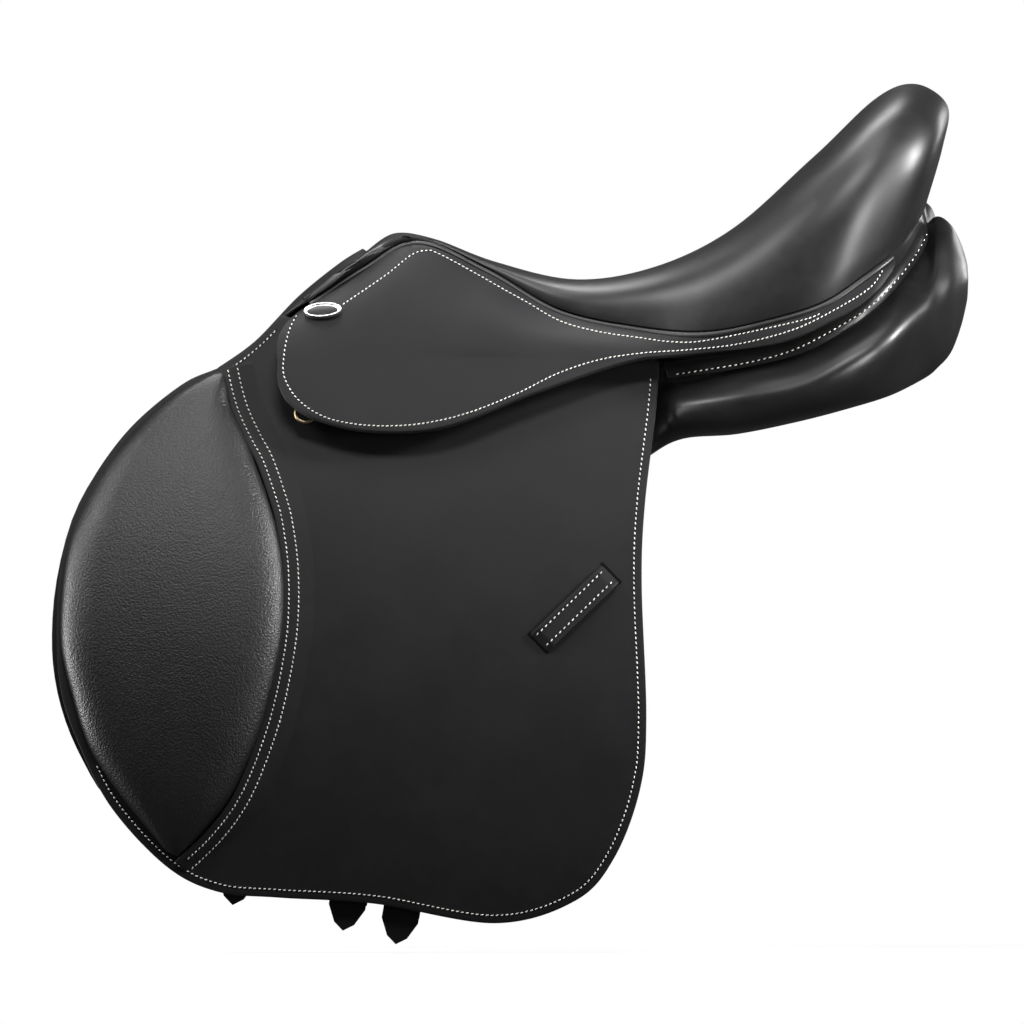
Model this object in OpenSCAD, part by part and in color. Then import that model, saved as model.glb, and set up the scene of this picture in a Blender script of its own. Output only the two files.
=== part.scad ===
// Close-contact jumping saddle, front toward -X, left (near) side toward -Y.
// The origin lies on the centre plane at the level where the panels bear on the horse's back.

/* [Seat] */
// Height of the pommel above the bearing level
pommel_z = 136; // [126:1:144]
// Height of the lowest part of the seat
dip_z = 108; // [104:1:114]
// Height of the cantle
cantle_z = 236; // [222:1:248]
// Width of the seat between its welts, at the widest part
seat_w = 278; // [262:1:290]
// Width between the welts at the pommel
twist_w = 104; // [98:1:110]
// Depth of the hollow between the sides of the cantle
seat_dish = 8; // [2:0.5:12]
// Thickness of the seat cover
cover_t = 2.5; // [1.5:0.1:3.5]
// Thickness of the foam under the cover
foam_t = 11; // [7:0.5:13]
// Thickness of the seat webs
seat_web_t = 1.5; // [1:0.1:2.5]
// Width of one lengthways seat web
seat_web_w = 44; // [30:1:50]
// Diameter of the welt between seat and skirts
welt_d = 4.4; // [3:0.1:5]

/* [Tree] */
// Thickness of the laminated tree
tree_t = 10; // [7:0.5:12]
// Thickness of the spring strips
spring_t = 1.6; // [1:0.1:2.5]
// Thickness of the gullet plate
gullet_plate_t = 5; // [3:0.5:6]
// Length of the gullet plate from front to rear
gullet_plate_l = 26; // [18:1:32]
// Thickness of the tree points
point_t = 6; // [4:0.5:7]
// Diameter of the rivets
rivet_d = 5; // [4:0.5:6]

/* [Leather layers] */
// Thickness of the flaps
flap_t = 4.5; // [3.5:0.1:5.5]
// Thickness of the skirts
skirt_t = 4; // [3:0.1:5]
// Thickness of the sweat flaps
sweat_t = 3; // [2:0.1:4]
// Thickness of the billets
billet_t = 5; // [3.5:0.1:6]
// Thickness of the girth webs
girth_web_t = 2.4; // [1.5:0.1:3]
// Room under the skirt for the stirrup bar
skirt_room = 15; // [14:0.5:20]
// Radius of the barrel on which the sweat flaps lie
barrel_r = 706; // [690:1:720]

/* [Flap] */
// Reach of the flap below the bearing level
flap_drop = 322; // [290:1:350]
// Reach of the flap forward of the origin
flap_forward = 302; // [285:1:315]
// Reach of the flap behind the origin
flap_back = 98; // [90:1:104]
// Height of the fold line at the top of the knee pad
fold_z = 33; // [28:1:34]
// Fall of the fold line toward the rear
fold_slope = 0.46; // [0.42:0.01:0.56]
// Crown of the knee pad
pad_crown = 15; // [8:0.5:18]

/* [Keeper] */
// Length of the keeper loop
keeper_l = 66; // [50:1:80]
// Width of the keeper loop
keeper_w = 16; // [10:0.5:22]
// Angle of the keeper loop, rising toward the rear
keeper_tilt = 44; // [30:1:60]
// Thickness of the keeper leather
keeper_t = 2.6; // [2:0.1:3.5]

/* [Billets] */
// Width of a billet
billet_w = 24.5; // [20:0.5:27]
// Lean of the billets, lower end forward
billet_lean = 10; // [8:0.5:12]
// Diameter of the buckle holes
hole_d = 6; // [4.5:0.5:8]
// Spacing of the buckle holes
hole_pitch = 25; // [20:1:30]
// Number of buckle holes in a billet
hole_n = 9; // [5:1:10]

/* [Stirrup bar] */
// Length of the bar behind its plate
bar_l = 66; // [50:1:72]
// Height of the bar
bar_h = 10; // [8:0.5:12]
// Thickness of the bar
bar_t = 6; // [4:0.5:6.5]
// Gap for the stirrup leather behind the bar
bar_gap = 6.6; // [6:0.1:7]
// Diameter of the catch pin
catch_pin_d = 3; // [2.5:0.1:3.5]
// Length of the catch
catch_l = 22; // [16:1:26]

/* [Dee ring] */
// Outside diameter of the ring
ring_od = 15.5; // [14:0.5:17]
// Diameter of the ring's wire
ring_wire = 2.2; // [1.6:0.1:2.4]
// Width of the chape that holds the ring
chape_w = 11; // [8:0.5:13]

/* [Badge] */
// Length of the oval badge
badge_l = 25; // [18:0.5:28]
// Width of the oval badge
badge_w = 14; // [8:0.5:16]
// Thickness of the badge
badge_t = 2.2; // [1.5:0.1:3]

/* [Panel] */
// Width of the gullet channel between the panels
channel_w = 66; // [58:1:72]
// How far the rear panels stand out beyond the seat
panel_proud = 12; // [6:0.5:16]
// Thickness of the rear facing band
facing_t = 3.2; // [2:0.1:4]

/* [Hidden] */
$fn = 64;
barrel_fn = 360;
// Clearance between layers that lie on each other
lay_gap = 0.4;
// Clearance between rivet or pin and hole
pin_gap = 0.05;
// Room for the billets to swing inside and outside their layer
billet_room_in = 5;
billet_room_out = 3;
// Barrel of the near side: the level of its axis, and its half width at the level of the tree's head
axis_z = -325;
head_z = 60;
head_half = 66.8;
axis_y = sqrt(barrel_r * barrel_r - (head_z - axis_z) * (head_z - axis_z)) - head_half;
// Heights of the fold in the skirt and of the flap's hidden top edge
skirt_fold_z = 52;
flap_top_z = 70;

r_sweat = barrel_r + sweat_t;
r_web = r_sweat + billet_room_in;
r_billet = r_web + girth_web_t + lay_gap;
r_flap = r_billet + billet_t + billet_room_out;
r_flap_out = r_flap + flap_t;
r_flap_mid = r_flap + flap_t / 2;
r_skirt = r_flap_out + skirt_room;
r_skirt_mid = r_skirt + skirt_t / 2;
r_point = barrel_r - lay_gap - point_t;

leather = [0.16, 0.16, 0.17];
soft_leather = [0.2, 0.2, 0.21];
steel = [0.7, 0.71, 0.72];
brass = [0.78, 0.62, 0.32];
wood = [0.72, 0.55, 0.36];
cloth = [0.82, 0.78, 0.68];

// Smooth curve through the points p, t running from 0 to 1
function on_curve(p, t) =
    let (n = len(p) - 1)
    let (s = min(max(t, 0), 1) * n)
    let (i = min(floor(s), n - 1))
    let (f = s - i)
    let (a = p[max(i - 1, 0)], b = p[i], c = p[i + 1], d = p[min(i + 2, n)])
    0.5 * (2 * b + (c - a) * f + (2 * a - 5 * b + 4 * c - d) * f * f
        + (3 * b - a - 3 * c + d) * f * f * f);
function curve(p, steps) = [for (i = [0:steps]) on_curve(p, i / steps)];
function mix(a, b, t) = a + (b - a) * t;
function unit(v) = v / norm(v);

// Place on the near side's barrel of radius r at height z
function side_y(r, z) = axis_y - sqrt(r * r - (z - axis_z) * (z - axis_z));
function side_angle(r, z) = asin((z - axis_z) / r);
function on_barrel(x, z, r) = [x, side_y(r, z), z];

// Local frame on the near side: X to the rear, Y up the leather, Z outward
module on_side(x, z, r) {
    translate(on_barrel(x, z, r)) rotate([90 - side_angle(r, z), 0, 0]) children();
}

// Sheet of leather of one outline, drawn from the side, between two radii of the barrel
module side_sheet(outline, r_in, r_out) {
    reach = 400;
    intersection() {
        translate([-reach, axis_y, axis_z]) rotate([0, 90, 0]) difference() {
            cylinder(r = r_out, h = 2 * reach, $fn = barrel_fn);
            translate([0, 0, -1]) cylinder(r = r_in, h = 2 * reach + 2, $fn = barrel_fn);
        }
        rotate([90, 0, 0]) linear_extrude(reach) polygon(outline);
    }
}

module off_side() { mirror([0, 1, 0]) children(); }

// Solid through a row of rings with the same even number of points
module loft(rings) {
    n = len(rings[0]);
    last = (len(rings) - 1) * n;
    points = [for (ring = rings) each ring];
    sides = [for (i = [0:len(rings) - 2]) for (j = [0:n - 1])
        let (a = i * n + j, b = i * n + (j + 1) % n) each [[a, b, b + n], [a, b + n, a + n]]];
    first_cap = [for (j = [0:n / 2 - 2]) each [[j + 1, j, n - 1 - j], [j + 1, n - 1 - j, n - 2 - j]]];
    last_cap = [for (face = first_cap) [face[2] + last, face[1] + last, face[0] + last]];
    polyhedron(points, concat(sides, first_cap, last_cap));
}

// Seat: its middle line (x, z) and its welt line (x, half width, z), both from pommel to cantle
function rise(share) = mix(dip_z, cantle_z, share);
function near_half(share) = share * seat_w / 2;
function twist_half(share) = share * twist_w / 2;
seat_line = [
    [-97, pommel_z - 12], [-78, pommel_z], [-51, pommel_z - 4], [-11, mix(dip_z, pommel_z, 0.33)],
    [42, dip_z], [95, rise(0.09)], [148, rise(0.31)], [201, rise(0.68)], [241, rise(0.95)],
    [268, cantle_z], [290, rise(0.885)], [287, rise(0.67)], [276, rise(0.375)]
];
welt_line = [
    [-134, twist_half(1.45), pommel_z - 45], [-98, twist_half(1.1), pommel_z - 21],
    [-62, twist_half(1), pommel_z - 4], [-15, twist_half(1.17), dip_z + 4],
    [32, twist_half(1.46), dip_z - 22.5], [85, near_half(0.705), 74], [130, near_half(0.88), 71],
    [175, near_half(0.985), 80], [208, near_half(1), 91], [235, near_half(0.94), 109],
    [252, near_half(0.84), 122], [264, near_half(0.65), 134], [274, near_half(0.32), 150]
];
welt_u_tail = 10 / 12;
hollow = [[0.25, 0], [0.5, 1], [0.7, 1], [0.77, 0]];

// Point of the seat, u from pommel to cantle and v from the near welt to the off welt
function seat_point(u, v) =
    let (c = on_curve(seat_line, u), w = on_curve(welt_line, u), a = 90 * abs(v))
    let (across = pow(sin(a), 0.8), up = pow(max(cos(a), 0), 0.6))
    let (dish = seat_dish * lookup(u, hollow) * pow(cos(min(1.6 * a, 90)), 2))
    [mix(w[0], c[0], up), sign(v) * w[1] * across, mix(w[2], c[1], up) - dish];
function seat_normal(u, v) =
    let (e = 0.004, edge = 0.999)
    let (along = seat_point(min(u + e, 1), v) - seat_point(max(u - e, 0), v))
    let (across = seat_point(u, min(v + e, edge)) - seat_point(u, max(v - e, -edge)))
    unit(cross(along, across));
function seat_at(u, v, depth) = seat_point(u, v) - seat_normal(u, v) * depth;
// The v at which the seat is y wide of the middle
function seat_v(u, y) = sign(y) * asin(pow(abs(y) / on_curve(welt_line, u)[1], 1.25)) / 90;

// Depths of the layers under the seat's surface
d_foam = cover_t + lay_gap;
d_web = d_foam + foam_t + 1.5 * lay_gap;
d_cross = d_web + seat_web_t + 1.5 * lay_gap;
d_tree = d_cross + seat_web_t + lay_gap;
d_spring = d_tree + tree_t + lay_gap;

// Layer of the seat between two depths, over a patch of u and v
module seat_layer(u, v, depth, steps) {
    across = [for (j = [0:steps[1]]) mix(v[0], v[1], j / steps[1])];
    loft([for (i = [0:steps[0]]) let (s = mix(u[0], u[1], i / steps[0])) concat(
        [for (j = [0:steps[1]]) seat_at(s, across[j], depth[0])],
        [for (j = [steps[1]:-1:0]) seat_at(s, across[j], depth[1])])]);
}

// Strip of the seat of steady width, between y[0] and y[1]
module seat_strip(u, y, depth, steps) {
    loft([for (i = [0:steps]) let (s = mix(u[0], u[1], i / steps)) concat(
        [for (j = [0:2]) seat_at(s, seat_v(s, mix(y[0], y[1], j / 2)), depth[0])],
        [for (j = [2:-1:0]) seat_at(s, seat_v(s, mix(y[0], y[1], j / 2)), depth[1])])]);
}

module seat_cover() { color(leather) seat_layer([0, 1], [-1, 1], [0, cover_t], [34, 16]); }

module seat_foam() {
    color(cloth) seat_layer([0.07, 0.64], [-0.64, 0.64], [d_foam, d_foam + foam_t], [24, 10]);
}

module seat_webs() {
    middle_gap = 6;
    for (side = [-1, 1]) {
        inner = side * middle_gap / 2;
        outer = inner + side * seat_web_w;
        color(cloth) seat_strip([0.1, 0.62], side < 0 ? [outer, inner] : [inner, outer],
            [d_web, d_web + seat_web_t], 20);
    }
}

module cross_web() {
    color(cloth) seat_layer([0.3, 0.4], [-0.58, 0.58], [d_cross, d_cross + seat_web_t], [4, 10]);
}

module tree() {
    color(wood) difference() {
        seat_layer([0.1, 0.62], [-0.6, 0.6], [d_tree, d_tree + tree_t], [22, 8]);
        seat_layer([0.2, 0.54], [-0.32, 0.32], [d_tree - 2, d_tree + tree_t + 2], [14, 4]);
    }
}

module spring(side) {
    inner = 34;
    spring_w = 14;
    y = side < 0 ? [-inner - spring_w, -inner] : [inner, inner + spring_w];
    color(steel) seat_strip([0.13, 0.46], y, [d_spring, d_spring + spring_t], 14);
}
module spring_near() { spring(-1); }
module spring_off() { spring(1); }

// Gullet plate, an arch under the head of the tree that the points are riveted to
r_gullet = r_point - lay_gap;
gullet_x = -78;
gullet_low_z = 34;
gullet_high_z = 84;
gullet_crown_z = pommel_z - 5.2 - d_tree - tree_t - lay_gap;
rivet_x = gullet_x + gullet_plate_l / 2;
rivet_z = [46, 68];

function arch_half(r, crown) = [
    [side_y(r, gullet_low_z), gullet_low_z], [side_y(r, 60), 60], [side_y(r, gullet_high_z) + 2, gullet_high_z],
    [-22, crown - 4.5], [0, crown]
];
function arch_line(r, crown) =
    let (half = curve(arch_half(r, crown), 16))
    concat(half, [for (i = [len(half) - 2:-1:0]) [-half[i][0], half[i][1]]]);

module rivet_holes() {
    for (z = rivet_z) on_side(rivet_x, z, r_point) translate([0, 0, -20])
        cylinder(d = rivet_d + 2 * pin_gap, h = 40);
}

module gullet_plate() {
    outer = arch_line(r_gullet, gullet_crown_z);
    inner = arch_line(r_gullet - gullet_plate_t, gullet_crown_z - gullet_plate_t);
    back = [for (i = [len(inner) - 1:-1:0]) inner[i]];
    color(steel) difference() {
        translate([gullet_x, 0, 0]) rotate([90, 0, 90]) linear_extrude(gullet_plate_l)
            polygon(concat(outer, back));
        rivet_holes();
        off_side() rivet_holes();
    }
}

module tree_point_near() {
    top_z = 86;
    low_z = 18;
    top_x = [-112, -44];
    low_x = [-158, -56];
    outline = [[top_x[1], top_z], [top_x[0], top_z], [low_x[0], low_z], [low_x[1], low_z]];
    color(wood) difference() {
        side_sheet(outline, r_point, r_point + point_t);
        rivet_holes();
    }
}
module tree_point_off() { off_side() tree_point_near(); }

module head_rivet_row() {
    shank_over = 1.55;
    inside = gullet_plate_t + shank_over;
    rivet_head = 2;
    for (z = rivet_z) on_side(rivet_x, z, r_point) {
        translate([0, 0, -inside]) cylinder(d = rivet_d, h = inside + point_t);
        translate([0, 0, -inside - rivet_head]) cylinder(d = 2 * rivet_d, h = rivet_head);
    }
}
module head_rivets() { color(steel) { head_rivet_row(); off_side() head_rivet_row(); } }

// Flap and sweat flap outlines (x, z), scaled to the flap's reaches
ref_forward = 302;
ref_back = 98;
ref_drop = 322;
function to_flap(p) = [
    p[0] * (p[0] < 0 ? flap_forward / ref_forward : flap_back / ref_back),
    p[1] * (p[1] < 0 ? flap_drop / ref_drop : 1)
];
flap_edge = [for (p = [
    [98, 50], [95.6, 19], [88, -45], [86, -98], [89, -185], [85, -232], [68, -278], [42, -307],
    [-11, -322], [-91, -309], [-154, -305], [-195, -301], [-229, -284], [-266, -244], [-288, -200],
    [-298.5, -168], [-301.5, -131], [-298.5, -82], [-287.5, -47], [-272, -18], [-249, 10.5], [-217.5, 36],
    [-192, 47.5], [-171.5, 62.5], [-153, 81]]) to_flap(p)];
flap_outline = concat([[-140, flap_top_z], [flap_back - 20, flap_top_z]], curve(flap_edge, 72));
sweat_edge = [for (p = [
    [56, 15], [66, -20], [74, -98], [76, -185], [72, -230], [55, -275], [-11, -300], [-91, -296],
    [-154, -292], [-200, -285], [-235, -267], [-268, -240], [-284, -215], [-296, -188], [-303, -160],
    [-305, -131], [-302, -95], [-292, -55], [-276, -24], [-254, 4], [-226, 15]]) to_flap(p)];

// Fold line of the flap, on which its lower part is lifted
fold_front_x = -195 * flap_forward / ref_forward;
fold_rear_x = flap_back - 10;
fold_rear_z = fold_z - fold_slope * (fold_rear_x - fold_front_x);
fold_bead = 4;
fold_r = r_flap_mid + 1.75;
fold_front = on_barrel(fold_front_x, fold_z, fold_r);
fold_rear = on_barrel(fold_rear_x, fold_rear_z, fold_r);
fold_dir = unit(fold_rear - fold_front);
fold_yaw = atan2(fold_dir[1], fold_dir[0]);
fold_pitch = -asin(fold_dir[2]);
fold_angle = side_angle(r_flap_mid, (fold_z + fold_rear_z) / 2);
fold_roll = atan2(cos(fold_angle) * cos(fold_yaw),
    sin(fold_angle) * cos(fold_pitch) - cos(fold_angle) * sin(fold_yaw) * sin(fold_pitch));
fold_slant = 23.6;
fold_setback = 1.25;

module on_fold() { translate(fold_front) rotate([fold_roll, fold_pitch, fold_yaw]) children(); }
beyond = 700;
module half_space() { translate([-beyond, -beyond, -beyond]) cube([2 * beyond, beyond, 2 * beyond]); }

// Places of the stirrup bar's posts and of the dee's stud
bar_x = -92;
bar_z = 50;
post_d = 7;
posts = [[-100, 46], [-82, 56]];
stud_x = -137;
stud_z = 44;
stud_d = 5;
hole_room = 1;

module post_holes() {
    for (p = posts) on_side(p[0], p[1], r_flap) translate([0, 0, -30]) cylinder(d = post_d + hole_room, h = 60);
    on_side(stud_x, stud_z, r_flap_out) translate([0, 0, -30]) cylinder(d = stud_d + hole_room, h = 60);
}

module flap_upper_near() {
    color(leather) difference() {
        intersection() {
            side_sheet(flap_outline, r_flap, r_flap_out);
            on_fold() translate([0, beyond + fold_bead / 2 + lay_gap, 0]) half_space();
        }
        post_holes();
    }
}
module flap_upper_off() { off_side() flap_upper_near(); }

module flap_lower_near() {
    color(leather) {
        intersection() {
            side_sheet(flap_outline, r_flap, r_flap_out);
            on_fold() translate([0, -fold_setback, 0]) rotate([fold_slant, 0, 0]) half_space();
        }
        on_fold() translate([-3, 0, 0]) rotate([0, 90, 0])
            cylinder(d = fold_bead, h = norm(fold_rear - fold_front));
    }
}
module flap_lower_off() { off_side() flap_lower_near(); }

// Knee pad: its front and rear edges (x, z) from top to bottom
pad_front = [for (p = [
    [-212, 33], [-218, 31], [-230, 24.5], [-247, 8.5], [-267, -15], [-282.5, -43], [-293, -70],
    [-298, -103], [-298.5, -138], [-291.5, -170], [-280, -205], [-260.5, -235.5], [-244, -256],
    [-229, -274]]) to_flap(p)];
pad_rear = [for (p = [
    [-193, 23], [-189.5, 20], [-186, 14], [-178, 3], [-170, -18], [-162, -40], [-155, -65],
    [-151, -95], [-152, -132], [-159, -168], [-170, -204], [-186, -238], [-205, -262],
    [-221, -278]]) to_flap(p)];
pad_edge_t = 1.5;

function pad_ring(t) =
    let (f = on_curve(pad_front, t), b = on_curve(pad_rear, t), n = 10)
    let (high = (pad_crown - pad_edge_t) * pow(sin(180 * min(max(t, 0.01), 0.99)), 0.55))
    concat(
        [for (i = [0:n]) let (w = i / n, p = mix(f, b, w))
            on_barrel(p[0], p[1], r_flap_out + lay_gap + pad_edge_t + high * pow(sin(180 * w), 0.6))],
        [for (i = [n:-1:0]) let (p = mix(f, b, i / n)) on_barrel(p[0], p[1], r_flap_out + lay_gap)]);
module knee_pad_near() { color(soft_leather) loft([for (i = [0:22]) pad_ring(i / 22)]); }
module knee_pad_off() { off_side() knee_pad_near(); }

// Keeper: its middle, in from the flap's rear edge and down from the frame's level
keeper_in = 56.5;
keeper_down = 113.5;
module keeper_loop_near() {
    rise = 2.2;
    foot = 7;
    half = keeper_l / 2;
    top = [[-half, 0.3], [-half + foot, rise], [0, rise + 0.5], [half - foot, rise], [half, 0.3]];
    line = curve(top, 16);
    back = [for (i = [16:-1:0]) line[i] + [0, keeper_t]];
    color(leather) on_side(flap_back - keeper_in, -keeper_down * flap_drop / ref_drop, r_flap_out)
        rotate([0, 0, keeper_tilt]) rotate([90, 0, 0]) translate([0, 0, -keeper_w / 2])
        linear_extrude(keeper_w) polygon(concat(line, back));
}
module keeper_loop_off() { off_side() keeper_loop_near(); }

module sweat_flap_near() { color(leather) side_sheet(curve(sweat_edge, 60), barrel_r, r_sweat); }
module sweat_flap_off() { off_side() sweat_flap_near(); }

// Billets: tip (x, z) of the front, middle and rear one
billet_tips = [[-185, 12 - flap_drop], [-112, -5 - flap_drop], [-77, -14 - flap_drop]];
billet_top_z = 24;
billet_pivot_z = 16;
billet_along = [sin(billet_lean), cos(billet_lean)];
billet_across = [cos(billet_lean), -sin(billet_lean)];
function billet_at(tip, along, across) = tip + billet_along * along + billet_across * across;
function billet_x(tip, z) = tip[0] + (z - tip[1]) * tan(billet_lean);

module billet(tip) {
    half = billet_w / 2;
    point_l = 16;
    first_hole = 45;
    top = (billet_top_z - tip[1]) / cos(billet_lean);
    right = [[0, 0], [5, 0.55 * half], [point_l, half], [top, half]];
    outline = concat([for (p = right) billet_at(tip, p[0], p[1])],
        [for (i = [3:-1:1]) billet_at(tip, right[i][0], -right[i][1])]);
    color(leather) difference() {
        side_sheet(outline, r_billet, r_billet + billet_t);
        for (i = [0:hole_n - 1]) {
            p = billet_at(tip, first_hole + i * hole_pitch, 0);
            on_side(p[0], p[1], r_billet) translate([0, 0, -10]) cylinder(d = hole_d, h = 30);
        }
    }
}
module billet_front_near() { billet(billet_tips[0]); }
module billet_middle_near() { billet(billet_tips[1]); }
module billet_rear_near() { billet(billet_tips[2]); }
module billet_front_off() { off_side() billet_front_near(); }
module billet_middle_off() { off_side() billet_middle_near(); }
module billet_rear_off() { off_side() billet_rear_near(); }

// Girth web: tacked on the tree point, with the billets sewn to its lower edge
module girth_web_near() {
    front = billet_x(billet_tips[0], billet_pivot_z) - billet_w / 2 - 3;
    rear = billet_x(billet_tips[2], billet_pivot_z) + billet_w / 2 + 3;
    low = billet_pivot_z - 8;
    root = [[-132, 34], [-64, 34], [-64, 60], [-120, 60]];
    outline = [[front, low], [rear, low], [rear, 34], root[1], root[2], root[3], root[0], [front, 34]];
    color(cloth) difference() {
        union() {
            side_sheet(outline, r_web, r_web + girth_web_t);
            side_sheet(root, r_point + point_t + lay_gap, r_web + girth_web_t);
        }
        post_holes();
    }
}
module girth_web_off() { off_side() girth_web_near(); }

// Skirt: lower edge (x, y, z) of its fixed upper part, from the front to the tail
skirt_up = [0, sin(side_angle(r_skirt_mid, skirt_fold_z)), cos(side_angle(r_skirt_mid, skirt_fold_z))];
skirt_bead = skirt_t;
function skirt_fold_at(x) = on_barrel(x, skirt_fold_z, r_skirt_mid) + skirt_up * (skirt_bead / 2 + lay_gap + 0.2);
function skirt_tail_at(i, x, proud, z) = [x, -welt_line[i][1] - proud, z];
skirt_low = [
    skirt_fold_at(-155.5), skirt_fold_at(-135), skirt_fold_at(-95), skirt_fold_at(-45), skirt_fold_at(15),
    skirt_fold_at(80), skirt_tail_at(6, 130, 5, 56), skirt_tail_at(7, 178, 8, 62.5),
    skirt_tail_at(8, 212, 8, 77), skirt_tail_at(9, 238, 8, 93), skirt_tail_at(10, 253, 6, 112)
];
skirt_bulge = 0.05;
skirt_front_bulge = 8;

// Middle of the welt, which lies just under the edge of the seat cover
welt_clear = 1.3;
function welt_at(t) =
    let (w = on_curve(welt_line, t * welt_u_tail))
    [w[0], -w[1] - welt_clear, w[2] - welt_d / 2 - welt_clear];
function skirt_point(t, s) =
    let (low = on_curve(skirt_low, t), welt = welt_at(t), e = 0.004)
    let (along = unit(welt_at(min(t + e, 1)) - welt_at(max(t - e, 0))), down = low - welt)
    let (square = unit(down - along * (along * down)))
    let (top = welt + square * (welt_d / 2 + 3 * lay_gap), swell = 4 * s * (1 - s))
    let (out = skirt_bulge * norm(low - top), ahead = skirt_front_bulge * max(1 - t / 0.15, 0))
    mix(top, low, s) + swell * [-ahead, -0.8 * out, 0.6 * out];
function skirt_normal(t, s) =
    let (e = 0.004)
    let (along = skirt_point(min(t + e, 1), s) - skirt_point(max(t - e, 0), s))
    let (down = skirt_point(t, min(s + e, 1)) - skirt_point(t, max(s - e, 0)))
    unit(cross(down, along));
function skirt_at(t, s, out) = skirt_point(t, s) + skirt_normal(t, s) * out;

module skirt_upper_near() {
    n = 8;
    half = skirt_t / 2;
    color(leather) loft([for (i = [0:36]) let (t = i / 36) concat(
        [for (j = [0:n]) skirt_at(t, j / n, -half)],
        [for (j = [n:-1:0]) skirt_at(t, j / n, half)])]);
}
module skirt_upper_off() { off_side() skirt_upper_near(); }

module skirt_lower_near() {
    cut_z = skirt_fold_z - 1.2;
    edge = curve([[-156, cut_z], [-155.7, 39], [-152.7, 29], [-141, 17], [-121, 8], [-81, 3], [-41, 7],
        [-8, 18], [32, 37], [58, 46], [84, cut_z]], 44);
    color(leather) {
        side_sheet(edge, r_skirt, r_skirt + skirt_t);
        translate(on_barrel(-155.5, skirt_fold_z, r_skirt_mid)) rotate([0, 90, 0])
            cylinder(d = skirt_bead, h = 235);
    }
}
module skirt_lower_off() { off_side() skirt_lower_near(); }

// Tube of 8 sides along the points of a path
module tube(path, d) {
    last = len(path) - 1;
    loft([for (i = [0:last])
        let (along = unit(path[min(i + 1, last)] - path[max(i - 1, 0)]))
        let (side = unit(cross(along, [0, 0, 1])), up = cross(side, along))
        [for (k = [0:7]) path[i] + d / 2 * (side * cos(45 * k) + up * sin(45 * k))]]);
}
module seat_welt_near() { color(leather) tube([for (i = [0:48]) welt_at(i / 48)], welt_d); }
module seat_welt_off() { off_side() seat_welt_near(); }

// Band between two edges (lists of points), its thickness going inward
module band(low, high, thick) {
    last = len(low) - 1;
    loft([for (i = [0:last])
        let (along = low[min(i + 1, last)] - low[max(i - 1, 0)])
        let (inward = unit(cross(along, high[i] - low[i])) * thick)
        [low[i], high[i], high[i] + inward, low[i] + inward]]);
}

// Front facing: forward edge from the near side over the pommel to the off side
facing_front_w = 24;
facing_front_low = [[-196, -90, 46], [-171, -78, 64], [-144, -57, 92], [-119, -34, 111.5], [-103, -10, 120.6]];
module front_facing() {
    last = len(facing_front_low) - 1;
    whole = concat(facing_front_low, [for (i = [last:-1:0]) [for (k = [0:2]) (k == 1 ? -1 : 1) * facing_front_low[i][k]]]);
    edge = curve(whole, 36);
    color(leather) band(edge, [for (p = edge) p + [facing_front_w, 0, 0]], facing_t);
}

// Rear facing: lower edge from the flap round to the middle of the back
facing_rear_low = [
    [103, -near_half(0.765), 39], [143, -near_half(0.89), 44], [191, -near_half(0.985), 55],
    [225, -near_half(0.985), 73], [245, -near_half(0.92), 88], [262, -near_half(0.75), 107],
    [275, -near_half(0.47), 126.5], [282, -lay_gap / 2, 147]
];
module rear_facing_near() {
    low = curve(facing_rear_low, 28);
    high = [for (p = low) p + [-2, 3.5 * min(-p[1] / 40, 1), 11]];
    color(leather) band(low, high, facing_t);
}
module rear_facing_off() { off_side() rear_facing_near(); }

// Panel: rings of (y, z) points at stations along x, outer side at -y
panel_in = channel_w / 2 + 3;
function panel_out(share) = near_half(1) * share + panel_proud;
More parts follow.
